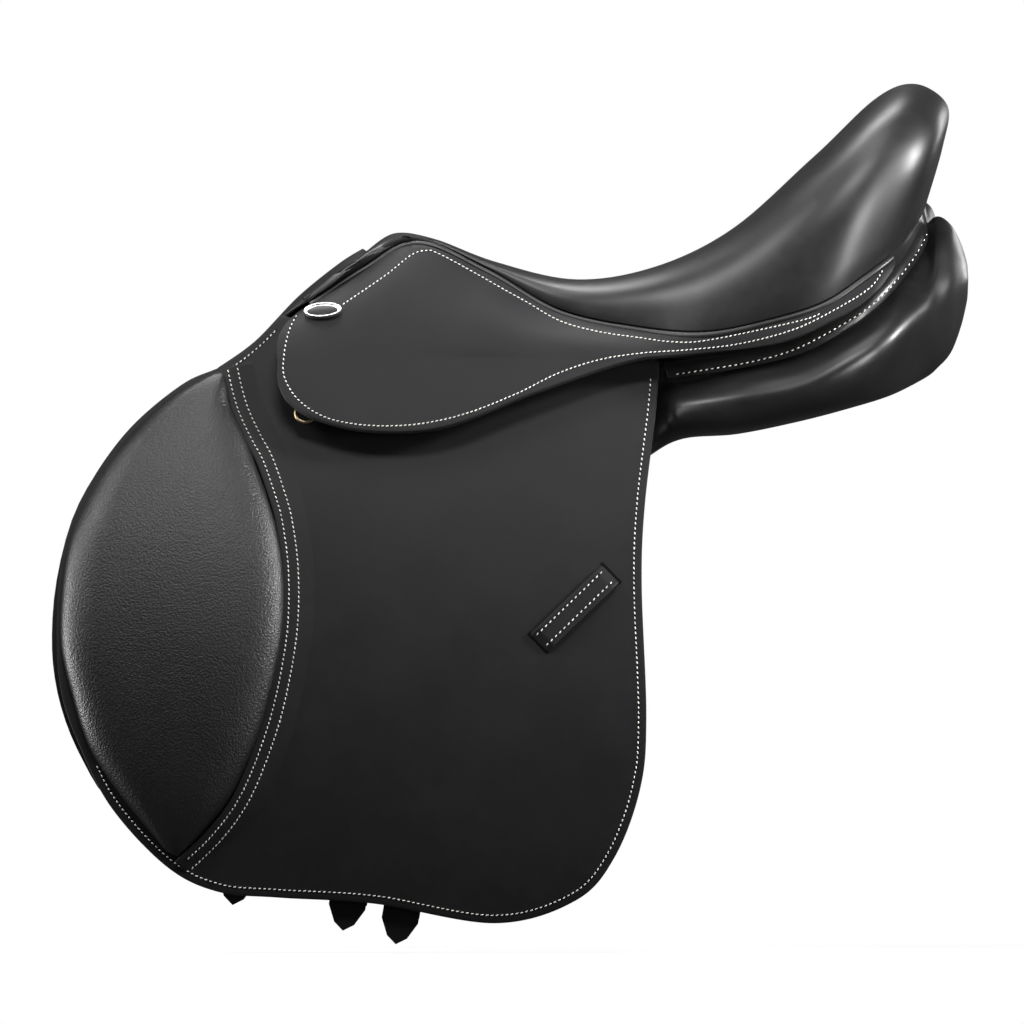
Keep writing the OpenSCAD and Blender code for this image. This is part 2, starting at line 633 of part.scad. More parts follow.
// Place across the rear of the panel, which keeps its share of the seat's width
ref_seat_w = 278;
function wide(y) = y * seat_w / ref_seat_w;
panel_x = [-176, -150, -60, 40, 84, 112, 150, 191, 225, 252, 274, 283, 292, 299, 303.5];
panel_rings = [
    [[40, 22], [52, 24], [62, 16], [72, 2], [84, -18], [70, -26], [44, 4]],
    [[panel_in, 46], [46, 48], [58, 38], [76, 16], [112, -26], [92, -40], [panel_in + 4, 12]],
    [[panel_in, 54], [46, 55], [60, 42], [78, 14], [114.5, -28], [94, -42], [panel_in + 3, 16]],
    [[panel_in, 58], [54, 58], [64, 44], [80, 14], [114.5, -28], [94, -42], [panel_in + 3, 16]],
    [[panel_in, 60], [66, 58], [80, 42], [90, 14], [105, -8], [92, -16], [panel_in + 3, 18]],
    [[panel_in, 62], [wide(84), 57], [wide(102), 38], [wide(121), 20], [wide(114), 3], [wide(92), 0], [panel_in + 3, 24]],
    [[panel_in, 64], [wide(98), 57], [wide(122), 43], [panel_out(0.93), 25], [wide(130), 5], [wide(96), 5],
        [panel_in + 3, 30]],
    [[panel_in, 78], [wide(108), 67], [wide(133), 53], [panel_out(1), 32], [wide(138), 13], [wide(100), 14],
        [panel_in + 3, 44]],
    [[panel_in, 100], [wide(108), 87], [wide(133), 70], [panel_out(1), 48], [wide(138), 25], [wide(102), 26],
        [panel_in + 3, 62]],
    [[panel_in, 117], [wide(88), 104], [wide(114), 91], [panel_out(0.92), 64], [wide(124), 37], [wide(95), 38],
        [panel_in + 3, 76]],
    [[panel_in, 128], [wide(58), 121], [wide(84), 109], [panel_out(0.73), 82], [wide(98), 51], [wide(76), 49],
        [panel_in + 4, 88]],
    [[panel_in, 135.7], [wide(54), 129.7], [wide(76), 118], [wide(99), 88], [wide(90), 56], [wide(70), 54],
        [panel_in + 4, 93]],
    [[panel_in, 138], [wide(49), 134], [wide(66), 121], [wide(85), 97], [wide(76), 68], [wide(60), 66],
        [panel_in + 4, 98]],
    [[panel_in, 127], [46, 125], [57, 117], [69, 102], [62, 85], [50, 83], [panel_in + 5, 103]],
    [[panel_in + 2, 113], [43, 113], [50, 110], [56, 104], [53, 98], [46, 97], [panel_in + 5, 105]]
];

// Point t of the closed smooth curve through a ring
function on_ring(ring, t) =
    let (n = len(ring), s = t * n, i = floor(s), f = s - i)
    let (a = ring[(i + n - 1) % n], b = ring[i % n], c = ring[(i + 1) % n], d = ring[(i + 2) % n])
    0.5 * (2 * b + (c - a) * f + (2 * a - 5 * b + 4 * c - d) * f * f
        + (3 * b - a - 3 * c + d) * f * f * f);

module panel_near() {
    rounds = 28;
    steps = 34;
    rings = [for (k = [0:6]) [for (i = [0:len(panel_x) - 1]) panel_rings[i][k]]];
    color(leather) loft([for (i = [0:steps])
        let (x = on_curve([for (x = panel_x) [x]], i / steps)[0])
        let (ring = [for (k = [0:6]) on_curve(rings[k], i / steps)])
        [for (j = [0:rounds - 1]) let (p = on_ring(ring, j / rounds)) [x, -p[0], p[1]]]]);
}
module panel_off() { off_side() panel_near(); }

module gullet_lining() {
    lining_t = 2;
    sag = 6;
    edge_room = 3.5;
    line = curve([for (i = [1:10]) [panel_x[i], panel_rings[i][0][1] - sag]], 30);
    back = [for (i = [30:-1:0]) line[i] - [0, lining_t]];
    color(leather) rotate([90, 0, 0]) linear_extrude(channel_w - 2 * edge_room, center = true) polygon(concat(line, back));
}

// Stirrup bar: a plate on posts that reach the tree point, and a bar open at its rear end
plate_t = 4;
plate_front = -16;
plate_rear = 20;
plate_top = 12;
bar_low = -22;
bar_v = bar_low + bar_h / 2;
bar_out = bar_gap + bar_t;
pin_x = plate_rear + bar_l;
lap_n = bar_gap + bar_t / 2;
lap_gap = 0.15;
neck_l = 12;

module on_bar() { on_side(bar_x, bar_z, r_flap_out + lay_gap) children(); }

module stirrup_bar_near() {
    color(steel) difference() {
        union() {
            on_bar() {
                translate([plate_front, bar_low, 0]) cube([plate_rear - plate_front, plate_top - bar_low, plate_t]);
                translate([plate_rear - neck_l, bar_low, 0]) cube([neck_l, bar_h, bar_out]);
                translate([plate_rear - neck_l, bar_low, bar_gap]) cube([neck_l + bar_l, bar_h, bar_t]);
                translate([pin_x, bar_v, bar_gap]) cylinder(d = bar_h, h = bar_t);
            }
            post_r = r_point + point_t + lay_gap;
            for (p = posts) on_side(p[0], p[1], r_flap) translate([0, 0, post_r - r_flap])
                cylinder(d = post_d, h = r_flap_out + 2 - post_r);
        }
        on_bar() translate([pin_x, bar_v, 0]) {
            translate([0, 0, lap_n]) cylinder(r = 0.7 * bar_h, h = bar_t);
            cylinder(d = catch_pin_d + 2 * pin_gap, h = 2 * bar_out);
        }
    }
}
module stirrup_bar_off() { off_side() stirrup_bar_near(); }

// Thumb catch that closes the rear end of the bar
module bar_catch_near() {
    arm_w = 0.8 * bar_h;
    clear = bar_h / 2 + lay_gap;
    color(steel) on_bar() translate([pin_x, bar_v, 0]) difference() {
        union() {
            translate([0, 0, lap_n + lap_gap]) cylinder(d = bar_h, h = bar_t / 2 - lap_gap);
            translate([0, -arm_w / 2, lap_n + lap_gap]) cube([clear + 1, arm_w, bar_t / 2 - lap_gap]);
            translate([clear, -arm_w / 2, bar_gap]) cube([catch_l - clear - arm_w / 2, arm_w, bar_t]);
            translate([catch_l - arm_w / 2, 0, bar_gap]) cylinder(d = arm_w, h = bar_t);
        }
        cylinder(d = catch_pin_d + 2 * pin_gap, h = 2 * bar_out);
    }
}
module bar_catch_off() { off_side() bar_catch_near(); }

module catch_pin() {
    pin_head = 0.8;
    on_bar() translate([pin_x, bar_v, bar_gap]) {
        cylinder(d = catch_pin_d, h = bar_t + 0.1);
        translate([0, 0, bar_t + 0.1]) cylinder(d = 2 * catch_pin_d, h = pin_head);
    }
}
module catch_pins() { color(steel) { catch_pin(); off_side() catch_pin(); } }

// Dee ring in a leather chape that swivels on a stud
ring_r = (ring_od - ring_wire) / 2;
ring_n = 10.4;
ring_v = -39;
chape_t = ring_wire + 2.4;
chape_n = ring_n - chape_t / 2;

module on_stud() { on_side(stud_x, stud_z, r_flap_out) children(); }
module ring_wire_shape(wire) {
    on_stud() translate([0, ring_v, ring_n]) rotate_extrude() translate([ring_r, 0]) circle(d = wire, $fn = 32);
}

module dee_ring_near() { color(brass) ring_wire_shape(ring_wire); }
module dee_ring_off() { off_side() dee_ring_near(); }

module dee_chape_near() {
    chape_low = ring_v + ring_r - ring_wire - 1.2;
    color(leather) difference() {
        on_stud() translate([0, 0, chape_n]) linear_extrude(chape_t) {
            circle(d = chape_w);
            translate([-chape_w / 2, chape_low]) square([chape_w, -chape_low]);
        }
        ring_wire_shape(ring_wire + 2 * lay_gap);
        on_stud() cylinder(d = stud_d + 2 * pin_gap, h = 40);
    }
}
module dee_chape_off() { off_side() dee_chape_near(); }

module dee_stud() {
    stud_r = r_point + point_t + lay_gap;
    chape_gap = 0.2;
    on_stud() {
        translate([0, 0, stud_r - r_flap_out])
            cylinder(d = stud_d, h = r_flap_out - stud_r + chape_n + chape_t + chape_gap + 0.5);
        translate([0, 0, lay_gap]) cylinder(d = 1.7 * stud_d, h = chape_n - chape_gap - lay_gap);
        translate([0, 0, chape_n + chape_t + chape_gap]) cylinder(d = 1.7 * stud_d, h = 1);
    }
}
module dee_studs() { color(brass) { dee_stud(); off_side() dee_stud(); } }

// Blank oval badge on the front of the skirt
badge_along = 0.085;
badge_down = 0.53;
badge_spin = 4;
badge_rim = 1;
function oval(l, w) = [for (a = [0:7.5:352.5]) [l / 2 * cos(a), w / 2 * sin(a)]];
module badge_near() {
    n = skirt_normal(badge_along, badge_down);
    color(steel) translate(skirt_at(badge_along, badge_down, skirt_t / 2 + lay_gap))
        rotate([0, acos(n[2]), atan2(n[1], n[0])]) rotate([0, 0, 90 + badge_spin]) difference() {
            linear_extrude(badge_t) polygon(oval(badge_l, badge_w));
            translate([0, 0, badge_t - 0.5]) linear_extrude(1)
                polygon(oval(badge_l - 2 * badge_rim, badge_w - 2 * badge_rim));
        }
}
module badge_off() { off_side() badge_near(); }

tree();
spring_near();
spring_off();
gullet_plate();
tree_point_near();
tree_point_off();
head_rivets();
seat_webs();
cross_web();
seat_foam();
seat_cover();
seat_welt_near();
seat_welt_off();
front_facing();
rear_facing_near();
rear_facing_off();
panel_near();
panel_off();
gullet_lining();
sweat_flap_near();
sweat_flap_off();
girth_web_near();
girth_web_off();
billet_front_near();
billet_front_off();
billet_middle_near();
billet_middle_off();
billet_rear_near();
billet_rear_off();
flap_upper_near();
flap_upper_off();
flap_lower_near();
flap_lower_off();
knee_pad_near();
knee_pad_off();
keeper_loop_near();
keeper_loop_off();
skirt_upper_near();
skirt_upper_off();
skirt_lower_near();
skirt_lower_off();
stirrup_bar_near();
stirrup_bar_off();
bar_catch_near();
bar_catch_off();
catch_pins();
dee_ring_near();
dee_ring_off();
dee_chape_near();
dee_chape_off();
dee_studs();
badge_near();
badge_off();
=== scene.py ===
"""Looks of the jumping saddle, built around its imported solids. Metres; front at -X, near side at -Y."""

import math

import bmesh
import bpy
from mathutils import Matrix, Vector
from mathutils.bvhtree import BVHTree


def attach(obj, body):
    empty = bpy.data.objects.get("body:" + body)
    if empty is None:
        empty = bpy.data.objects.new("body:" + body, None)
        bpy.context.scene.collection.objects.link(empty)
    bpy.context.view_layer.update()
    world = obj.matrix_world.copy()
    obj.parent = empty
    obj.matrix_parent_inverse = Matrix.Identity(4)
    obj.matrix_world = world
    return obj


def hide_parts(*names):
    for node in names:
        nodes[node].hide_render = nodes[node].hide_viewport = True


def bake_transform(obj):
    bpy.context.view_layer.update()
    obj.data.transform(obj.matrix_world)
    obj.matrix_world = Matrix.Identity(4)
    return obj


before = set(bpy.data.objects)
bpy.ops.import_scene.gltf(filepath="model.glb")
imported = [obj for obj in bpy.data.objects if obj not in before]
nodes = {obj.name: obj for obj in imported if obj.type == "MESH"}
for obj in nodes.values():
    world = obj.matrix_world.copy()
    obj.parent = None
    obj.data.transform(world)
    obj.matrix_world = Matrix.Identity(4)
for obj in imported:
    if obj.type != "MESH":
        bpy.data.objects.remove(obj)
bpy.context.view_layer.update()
scene = bpy.context.scene
MM = 0.001
ROOT = "saddle"
SIDES = (("near", 1), ("off", -1))

# Sizes that the solids are built from, in millimetres
BARREL_Y = 524.986
BARREL_Z = -325
R_FLAP_OUT = 729.3
FLAP_T = 4.5
R_SKIRT = 744.3
SKIRT_T = 4
SKIRT_FOLD_Z = 52
WELT_D = 4.4
SEAT_T = 2.5
SEAT_HALF = 139
SEAT_DISH = 8
CHANNEL_HALF = 33
PANEL_PROUD = 12


def mix(a, b, t):
    """From a at 0 to b at 1."""
    return a + (b - a) * t


def smooth(t):
    """Soft step from 0 to 1."""
    t = min(max(t, 0), 1)
    return t * t * (3 - 2 * t)


def bend_through(a, b, c, d, f):
    """Smooth curve from b to c, as its neighbours a and d bend it."""
    return 0.5 * (2 * b + (c - a) * f + (2 * a - 5 * b + 4 * c - d) * f * f
                  + (3 * b - a - 3 * c + d) * f**3)


def on_curve(points, t):
    """Point of the smooth curve through the points, t from 0 to 1."""
    n = len(points) - 1
    s = min(max(t, 0), 1) * n
    i = min(int(s), n - 1)
    f = s - i
    a, b, c, d = (Vector(points[k]) for k in (max(i - 1, 0), i, i + 1, min(i + 2, n)))
    return bend_through(a, b, c, d, f)


def on_ring(ring, t):
    """Point of the closed smooth curve through the ring."""
    n = len(ring)
    i = int(t * n) % n
    f = t * n - int(t * n)
    a, b, c, d = (Vector(ring[(i + k) % n]) for k in (-1, 0, 1, 2))
    return bend_through(a, b, c, d, f)


def dense(points, step):
    """Points at an even spacing along the smooth curve through the control points."""
    fine = [on_curve(points, i / (40 * len(points))) for i in range(40 * len(points) + 1)]
    out = [fine[0]]
    left = step
    for a, b in zip(fine, fine[1:]):
        span = (b - a).length
        while span >= left and span > 0:
            a = mix(a, b, left / span)
            span -= left
            left = step
            out.append(a)
        left -= span
    return out


def side_y(r, z):
    """Y of the near side's barrel of radius r at height z."""
    return BARREL_Y - math.sqrt(r * r - (z - BARREL_Z) ** 2)


def on_barrel(x, z, r):
    """Point of the near side's barrel of radius r, seen at (x, z)."""
    return Vector((x, side_y(r, z), z))


class Val:
    """A number's socket in a shader; arithmetic on it adds Math nodes."""

    def __init__(self, look, socket):
        self.look = look
        self.socket = socket

    def maths(self, operation, *values):
        """Result of a Math node."""
        return self.look.node("ShaderNodeMath", {"operation": operation}, dict(enumerate(values)))

    def __add__(self, other):
        return self.maths("ADD", self, other)

    __radd__ = __add__

    def __sub__(self, other):
        return self.maths("SUBTRACT", self, other)

    def __rsub__(self, other):
        return self.maths("SUBTRACT", other, self)

    def __mul__(self, other):
        return self.maths("MULTIPLY", self, other)

    __rmul__ = __mul__

    def between(self, low, high):
        """0 below low, 1 above high, and soft between them."""
        return self.look.node("ShaderNodeMapRange", {"interpolation_type": "SMOOTHSTEP"},
                              {"Value": self, "From Min": low, "From Max": high})


class Look:
    """A material made of nodes."""

    def __init__(self, name):
        self.material = bpy.data.materials.new(name)
        self.material.use_nodes = True
        self.tree = self.material.node_tree
        self.tree.nodes.clear()
        self.out = self.tree.nodes.new("ShaderNodeOutputMaterial")
        self.place = self.node("ShaderNodeTexCoord", out="Object")

    def node(self, kind, settings=None, sockets=None, out=0):
        """Adds a node of any kind, with its settings and its sockets' values or links."""
        made = self.tree.nodes.new(kind)
        for key, value in (settings or {}).items():
            setattr(made, key, value)
        for key, value in (sockets or {}).items():
            if isinstance(value, Val):
                self.tree.links.new(value.socket, made.inputs[key])
            elif value is not None:
                made.inputs[key].default_value = value
        return Val(self, made.outputs[out])

    def noise(self, scale, detail=2.0, rough=0.5, stretch=None):
        """Soft noise, drawn out along an axis where it is stretched."""
        place = self.place
        if stretch:
            place = self.node("ShaderNodeMapping", None, {"Vector": place, "Scale": stretch})
        return self.node("ShaderNodeTexNoise", None,
                         {"Vector": place, "Scale": scale, "Detail": detail, "Roughness": rough})

    def cells(self, scale, soft, place=None):
        """Distance from the middles of uneven cells."""
        sockets = {"Vector": place or self.place, "Scale": scale, "Smoothness": soft}
        return self.node("ShaderNodeTexVoronoi", {"feature": "SMOOTH_F1"}, sockets, "Distance")

    def tint(self, fac, low, high):
        """Colour from low to high."""
        return self.node("ShaderNodeMix", {"data_type": "RGBA"},
                         {"Factor": fac, 6: (*low, 1), 7: (*high, 1)}, 2)

    def bump(self, height, strength, distance):
        """Normal bent by a height."""
        return self.node("ShaderNodeBump", None,
                         {"Height": height, "Strength": strength, "Distance": distance})

    def finish(self, **sockets):
        """Shader with the given sockets, named in lower case, as the material's surface."""
        named = {key.replace("_", " ").title().replace("Ior", "IOR"): value
                 for key, value in sockets.items()}
        shader = self.node("ShaderNodeBsdfPrincipled", None, named)
        self.tree.links.new(shader.socket, self.out.inputs["Surface"])
        return self.material


def smooth_leather(name, dark, light, rough, fine=0.08, level=0.4):
    """Smooth full-grain leather: faint clouding, tight pores and a soft satin."""
    look = Look(name)
    cloud = look.noise(22, 3, 0.55)
    worn = look.noise(130, 3, 0.6)
    pores = look.cells(2600, 0.6)
    creases = look.noise(900, 4, 0.65)
    shade = cloud * 0.7 + worn * 0.3
    height = pores * 0.5 + creases * 0.5
    return look.finish(
        base_color=look.tint(shade.between(0.3, 0.72), dark, light),
        roughness=rough + 0.1 * (worn - 0.5) + 0.06 * (cloud - 0.5),
        specular_ior_level=level,
        normal=look.bump(height, fine, 0.0004))


def grained_leather(name, dark, light, rough, size, depth, level=0.45):
    """Pebbled leather: rounded cells of uneven size, darker in the valleys."""
    look = Look(name)
    wander = look.node("ShaderNodeTexNoise", None,
                       {"Vector": look.place, "Scale": 420, "Detail": 2.0}, "Color")
    bent = look.node("ShaderNodeMix", {"data_type": "VECTOR"},
                     {"Factor": 0.0012, 4: look.place, 5: wander}, 1)
    pebble = look.cells(1 / size, 0.35, bent)
    small = look.cells(2.3 / size, 0.4, bent)
    cloud = look.noise(26, 3, 0.55)
    valley = (pebble * 0.7 + small * 0.3).between(0.2, 0.62)
    height = 1 - (pebble * 0.72 + small * 0.28)
    return look.finish(
        base_color=look.tint((1 - valley) * 0.6 + cloud * 0.4, dark, light),
        roughness=rough + 0.14 * valley + 0.08 * (cloud - 0.5),
        specular_ior_level=level,
        normal=look.bump(height, depth, 0.0006))


def cut_edge(name, colour, level=0.4):
    """Painted cut edge of thick leather, a little paler and streaked along its layers."""
    look = Look(name)
    streak = look.noise(700, 3, 0.6)
    return look.finish(
        base_color=look.tint(streak.between(0.3, 0.7), tuple(0.7 * c for c in colour), colour),
        roughness=0.5 + 0.15 * (streak - 0.5),
        specular_ior_level=level,
        normal=look.bump(streak, 0.1, 0.0003))


def thread(name, dark, light):
    """Waxed linen thread with its twist."""
    look = Look(name)
    twist = look.noise(2200, 2, 0.5)
    return look.finish(
        base_color=look.tint(twist.between(0.3, 0.7), dark, light),
        roughness=0.6 + 0.2 * (twist - 0.5),
        specular_ior_level=0.3,
        normal=look.bump(twist, 0.3, 0.0002))


def metal(name, dark, light, rough, scratch):
    """Polished or brushed metal with fine wear."""
    look = Look(name)
    wear = look.noise(900, 4, 0.6, (0.25, 1, 1))
    dull = look.noise(60, 2, 0.5)
    return look.finish(
        base_color=look.tint(dull.between(0.3, 0.7), dark, light),
        metallic=1.0,
        roughness=rough + 0.12 * (wear - 0.5) + 0.06 * (dull - 0.5),
        normal=look.bump(wear, scratch, 0.0002))


def woven(name, dark, light):
    """Plain-woven webbing: over-and-under rows of yarn."""
    look = Look(name)
    row = look.node("ShaderNodeTexWave", {"bands_direction": "X"},
                    {"Vector": look.place, "Scale": 160.0, "Distortion": 0.6, "Detail": 1.0}, "Fac")
    cross = look.node("ShaderNodeTexWave", {"bands_direction": "Z"},
                      {"Vector": look.place, "Scale": 160.0, "Distortion": 0.6, "Detail": 1.0}, "Fac")
    weave = row * cross
    return look.finish(
        base_color=look.tint(weave, dark, light),
        roughness=0.85 + 0.1 * (weave - 0.5),
        specular_ior_level=0.2,
        normal=look.bump(weave, 0.5, 0.0005))


def laminate(name, dark, light):
    """Black-lacquered beech laminate with its growth lines showing through."""
    look = Look(name)
    grain = look.noise(40, 5, 0.6, (1, 8, 8))
    return look.finish(
        base_color=look.tint(grain.between(0.3, 0.7), dark, light),
        roughness=0.45 + 0.15 * (grain - 0.5),
        specular_ior_level=0.4,
        normal=look.bump(grain, 0.15, 0.0005))


def enamel(name):
    """Black enamel, rubbed to a low gloss."""
    look = Look(name)
    ripple = look.noise(300, 2, 0.5)
    return look.finish(
        base_color=look.tint(ripple, (0.004, 0.004, 0.005), (0.01, 0.01, 0.011)),
        roughness=0.3 + 0.06 * (ripple - 0.5),
        specular_ior_level=0.15)


flap_leather = smooth_leather(
    "flap_leather", (0.0085, 0.0085, 0.0092), (0.0115, 0.0115, 0.0125), 0.52, fine=0.08, level=0.13)
seat_leather = smooth_leather(
    "seat_leather", (0.008, 0.008, 0.008), (0.013, 0.013, 0.013), 0.39, fine=0.03, level=0.45)
panel_leather = smooth_leather(
    "panel_leather", (0.005, 0.005, 0.005), (0.009, 0.009, 0.009), 0.36, fine=0.03, level=0.45)
strap_leather = smooth_leather(
    "strap_leather", (0.006, 0.006, 0.006), (0.011, 0.0105, 0.01), 0.55, fine=0.08, level=0.2)
pad_leather = grained_leather(
    "pad_leather", (0.002, 0.002, 0.002), (0.006, 0.006, 0.006), 0.31, size=0.0014, depth=0.5, level=0.45)
edge_paint = cut_edge("edge_paint", (0.045, 0.044, 0.043))
cream_thread = thread("cream_thread", (0.66, 0.64, 0.59), (0.88, 0.86, 0.81))
# Near-black painted shade for the shadow in needle holes and keeper slits, made with the cut-edge shader
painted_hole_shade = cut_edge("painted_hole_shade", (0.003, 0.003, 0.003), level=0.05)
steel = metal("steel", (0.5, 0.51, 0.52), (0.62, 0.63, 0.64), 0.32, 0.1)
chrome = metal("chrome", (0.7, 0.7, 0.71), (0.82, 0.82, 0.83), 0.26, 0.02)
brass = metal("brass", (0.3, 0.24, 0.13), (0.42, 0.34, 0.2), 0.34, 0.04)
webbing = woven("webbing", (0.025, 0.023, 0.02), (0.07, 0.065, 0.058))
beech = laminate("beech", (0.012, 0.01, 0.008), (0.03, 0.024, 0.018))
black_enamel = enamel("black_enamel")


def piece(name, mesh, sign=1):
    """Object from a bmesh in millimetres on the near side; a sign of -1 makes the off one."""
    bm = mesh.copy()
    bmesh.ops.scale(bm, vec=(MM, sign * MM, MM), verts=bm.verts)
    if sign < 0:
        bmesh.ops.reverse_faces(bm, faces=bm.faces)
    data = bpy.data.meshes.new(name)
    bm.to_mesh(data)
    bm.free()
    obj = bpy.data.objects.new(name, data)
    scene.collection.objects.link(obj)
    return obj


def add(obj, kind, **settings):
    """Adds a modifier with its settings."""
    made = obj.modifiers.new(kind.title(), kind)
    for key, value in settings.items():
        setattr(made, key, value)


def settle(obj, *materials, sharp=40):
    """Gives the piece its materials, applies its modifiers and shades it smooth."""
    for material in materials:
        obj.data.materials.append(material)
    if obj.modifiers:
        graph = bpy.context.evaluated_depsgraph_get()
        mesh = bpy.data.meshes.new_from_object(obj.evaluated_get(graph))
        obj.modifiers.clear()
        obj.data = mesh
    obj.data.shade_smooth()
    obj.data.set_sharp_from_angle(angle=math.radians(sharp))


def patch(point, nu, nv, out=(0, -1, 0.3)):
    """Grid of nu by nv faces, its corners moved to point(u, v), with u and v from 0 to 1, facing out."""
    bm = bmesh.new()
    bmesh.ops.create_grid(bm, x_segments=nu, y_segments=nv, size=1)
    for vert in bm.verts:
        vert.co = point((vert.co.x + 1) / 2, (vert.co.y + 1) / 2)
    bm.normal_update()
    facing = sum((face.normal * face.calc_area() for face in bm.faces), Vector())
    if facing.dot(Vector(out)) < 0:
        bmesh.ops.reverse_faces(bm, faces=bm.faces)
    return bm


def closed_patch(point, nu, nv):
    """Grid whose v runs round a closed ring, with its two open ends filled."""
    bm = patch(point, nu, nv)
    bmesh.ops.remove_doubles(bm, verts=bm.verts, dist=1e-3)
    bmesh.ops.holes_fill(bm, edges=[e for e in bm.edges if e.is_boundary], sides=0)
    bmesh.ops.recalc_face_normals(bm, faces=bm.faces)
    return bm


def sheet_solid(obj, thick, bevel=0.6):
    """Gives an outward-facing patch its thickness, inward, and rounds its rim."""
    add(obj, "SOLIDIFY", thickness=thick * MM, offset=-1, use_even_offset=True, material_offset_rim=1)
    add(obj, "BEVEL", width=bevel * MM, segments=2, limit_method="ANGLE", angle_limit=math.radians(50))


class Surface:
    """Near-side piece that details are laid on, found by looking from the near side."""

    def __init__(self, obj):
        mesh = bmesh.new()
        mesh.from_mesh(obj.data)
        self.tree = BVHTree.FromBMesh(mesh)
        mesh.free()

    def at(self, x, z):
        """Point in millimetres and normal where the line of sight at (x, z) meets the piece, or None."""
        spot, normal, _, _ = self.tree.ray_cast(Vector((x * MM, -1, z * MM)), Vector((0, 1, 0)))
        return (spot / MM, normal) if spot else None


# Stitches and the needle holes between them, in millimetres; each hole is drawn as a flat dark mark of
# painted shade
STITCH_L = 2.1
STITCH_W = 0.84
STITCH_SLANT = 13
STITCH_SINK = 0.32
HOLE_HALF = (0.72, 0.6, 0.2)
HOLE_LIFT = 0.02
# Turns a sphere's pole along the stitch
TIP = Matrix.Rotation(math.radians(90), 4, "Y")


def stitch_mesh(surface, lines, pitch):
    """Row of stitches along lines of (x, z) control points, with a needle hole between each two, drawn as a
    flat dark mark of painted shade.
    """
    bm = bmesh.new()
    for line in lines:
        spots = [surface.at(p[0], p[1]) for p in dense(line, pitch / 2)]
        for i in range(1, len(spots) - 1):
            if None in (spots[i - 1], spots[i], spots[i + 1]):
                continue
            spot, up = spots[i]
            along = (spots[i + 1][0] - spots[i - 1][0]).normalized()
            up = (up - along * along.dot(up)).normalized()
            # A hole is a flattened dark mark of painted shade, lying just on the surface
            is_hole = i % 2 == 0
            if not is_hole:
                along = Matrix.Rotation(math.radians(STITCH_SLANT), 3, up) @ along
            half = HOLE_HALF if is_hole else (STITCH_L / 2, STITCH_W / 2, STITCH_W / 2)
            turn = Matrix((along, up.cross(along), up)).transposed().to_4x4()
            centre = spot + up * (HOLE_LIFT if is_hole else STITCH_W / 2 - STITCH_SINK)
            made = bmesh.ops.create_uvsphere(
                bm, u_segments=6, v_segments=4, radius=1,
                matrix=Matrix.Translation(centre) @ turn @ Matrix.Diagonal((*half, 1)) @ TIP)
            for face in {f for v in made["verts"] for f in v.link_faces}:
                face.material_index = 1 if is_hole else 0
    return bm


def whole_piece(name, mesh, materials, make=None, replaced=()):
    """One piece across both sides of the saddle, from a bmesh in millimetres."""
    obj = piece(name, mesh)
    mesh.free()
    if make:
        make(obj)
    settle(obj, *materials)
    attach(obj, ROOT)
    if replaced:
        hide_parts(*replaced)
    return obj


def each_side(name, mesh, body, materials, make=None, replaced=(), bend=None, sharp=40):
    """Near and off pieces from one near-side bmesh; a body named with {} is that side's own. With bend
    given, the piece is left in place on no body, and the bend's ends are only turned into metres.
    """
    made = []
    for side, sign in SIDES:
        obj = piece(f"{name}_{side}", mesh, sign)
        if make:
            make(obj)
        settle(obj, *materials, sharp=sharp)
        if bend:
            ends = [Vector((p[0], p[1] * sign, p[2])) * MM for p in bend]
            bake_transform(obj)
        else:
            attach(obj, body.format(side))
        if replaced:
            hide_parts(*(n.format(side) for n in replaced))
        made.append(obj)
    mesh.free()
    return made


# Seat: middle line (x, z) and welt line (x, half width, z), both from pommel to cantle
SEAT_LINE = [
    (-97, 124), (-78, 136), (-51, 132), (-11, 117.2), (42, 108), (95, 119.5), (148, 147.7),
    (201, 195), (241, 229.6), (268, 236), (290, 221.3), (287, 193.8), (276, 156)]
WELT_LINE = [
    (-134, 75.4, 91), (-98, 57.2, 115), (-62, 52, 132), (-15, 60.8, 112), (32, 75.9, 85.5),
    (85, 98, 74), (130, 122.3, 71), (175, 136.9, 80), (208, 139, 91), (235, 130.7, 109),
    (252, 116.8, 122), (264, 90.4, 134), (274, 44.5, 150)]
WELT_TAIL = 10 / 12
WELT_CLEAR = 1.3
# Powers below 1 that make the seat's section fuller at its sides and over its top
SEAT_FULL = 0.8
SEAT_ROUND = 0.6
DISH_SPAN = 1.6


def seat_hollow(u):
    """Share of the hollow along the seat."""
    return smooth((u - 0.22) / 0.28) * (1 - smooth((u - 0.58) / 0.2))


def seat_point(u, v):
    """Seat at u along it, and v from -1 at the near welt to 1 at the off one."""
    middle = on_curve(SEAT_LINE, u)
    welt = on_curve(WELT_LINE, u)
    angle = math.pi / 2 * min(abs(v), 1)
    wide = math.sin(angle) ** SEAT_FULL
    up = max(math.cos(angle), 0) ** SEAT_ROUND
    dish = SEAT_DISH * seat_hollow(u) * math.cos(min(DISH_SPAN * angle, math.pi / 2)) ** 2
    side = math.copysign(welt[1] * wide, v)
    return Vector((mix(welt[0], middle[0], up), side, mix(welt[2], middle[1], up) - dish))


def seat_grid(u, v):
    """Seat over the unit square, with its rows closer together toward both welts."""
    return seat_point(u, math.sin(math.pi * (v - 0.5)) * 0.25 + 1.5 * (v - 0.5))


seat = whole_piece("seat", patch(seat_grid, 110, 72, (0, 0, 1)), (seat_leather, edge_paint),
                   lambda obj: sheet_solid(obj, SEAT_T, 0.5), ("seat_cover",))

# Margin of the seat's leather, from the near side's front round the back to the off side's front
TUCK_SIDE = 0.46
TUCK_SET = 1.5
TUCK_IN = 10
TUCK_DEEP = 20
TUCK_REAR = 5


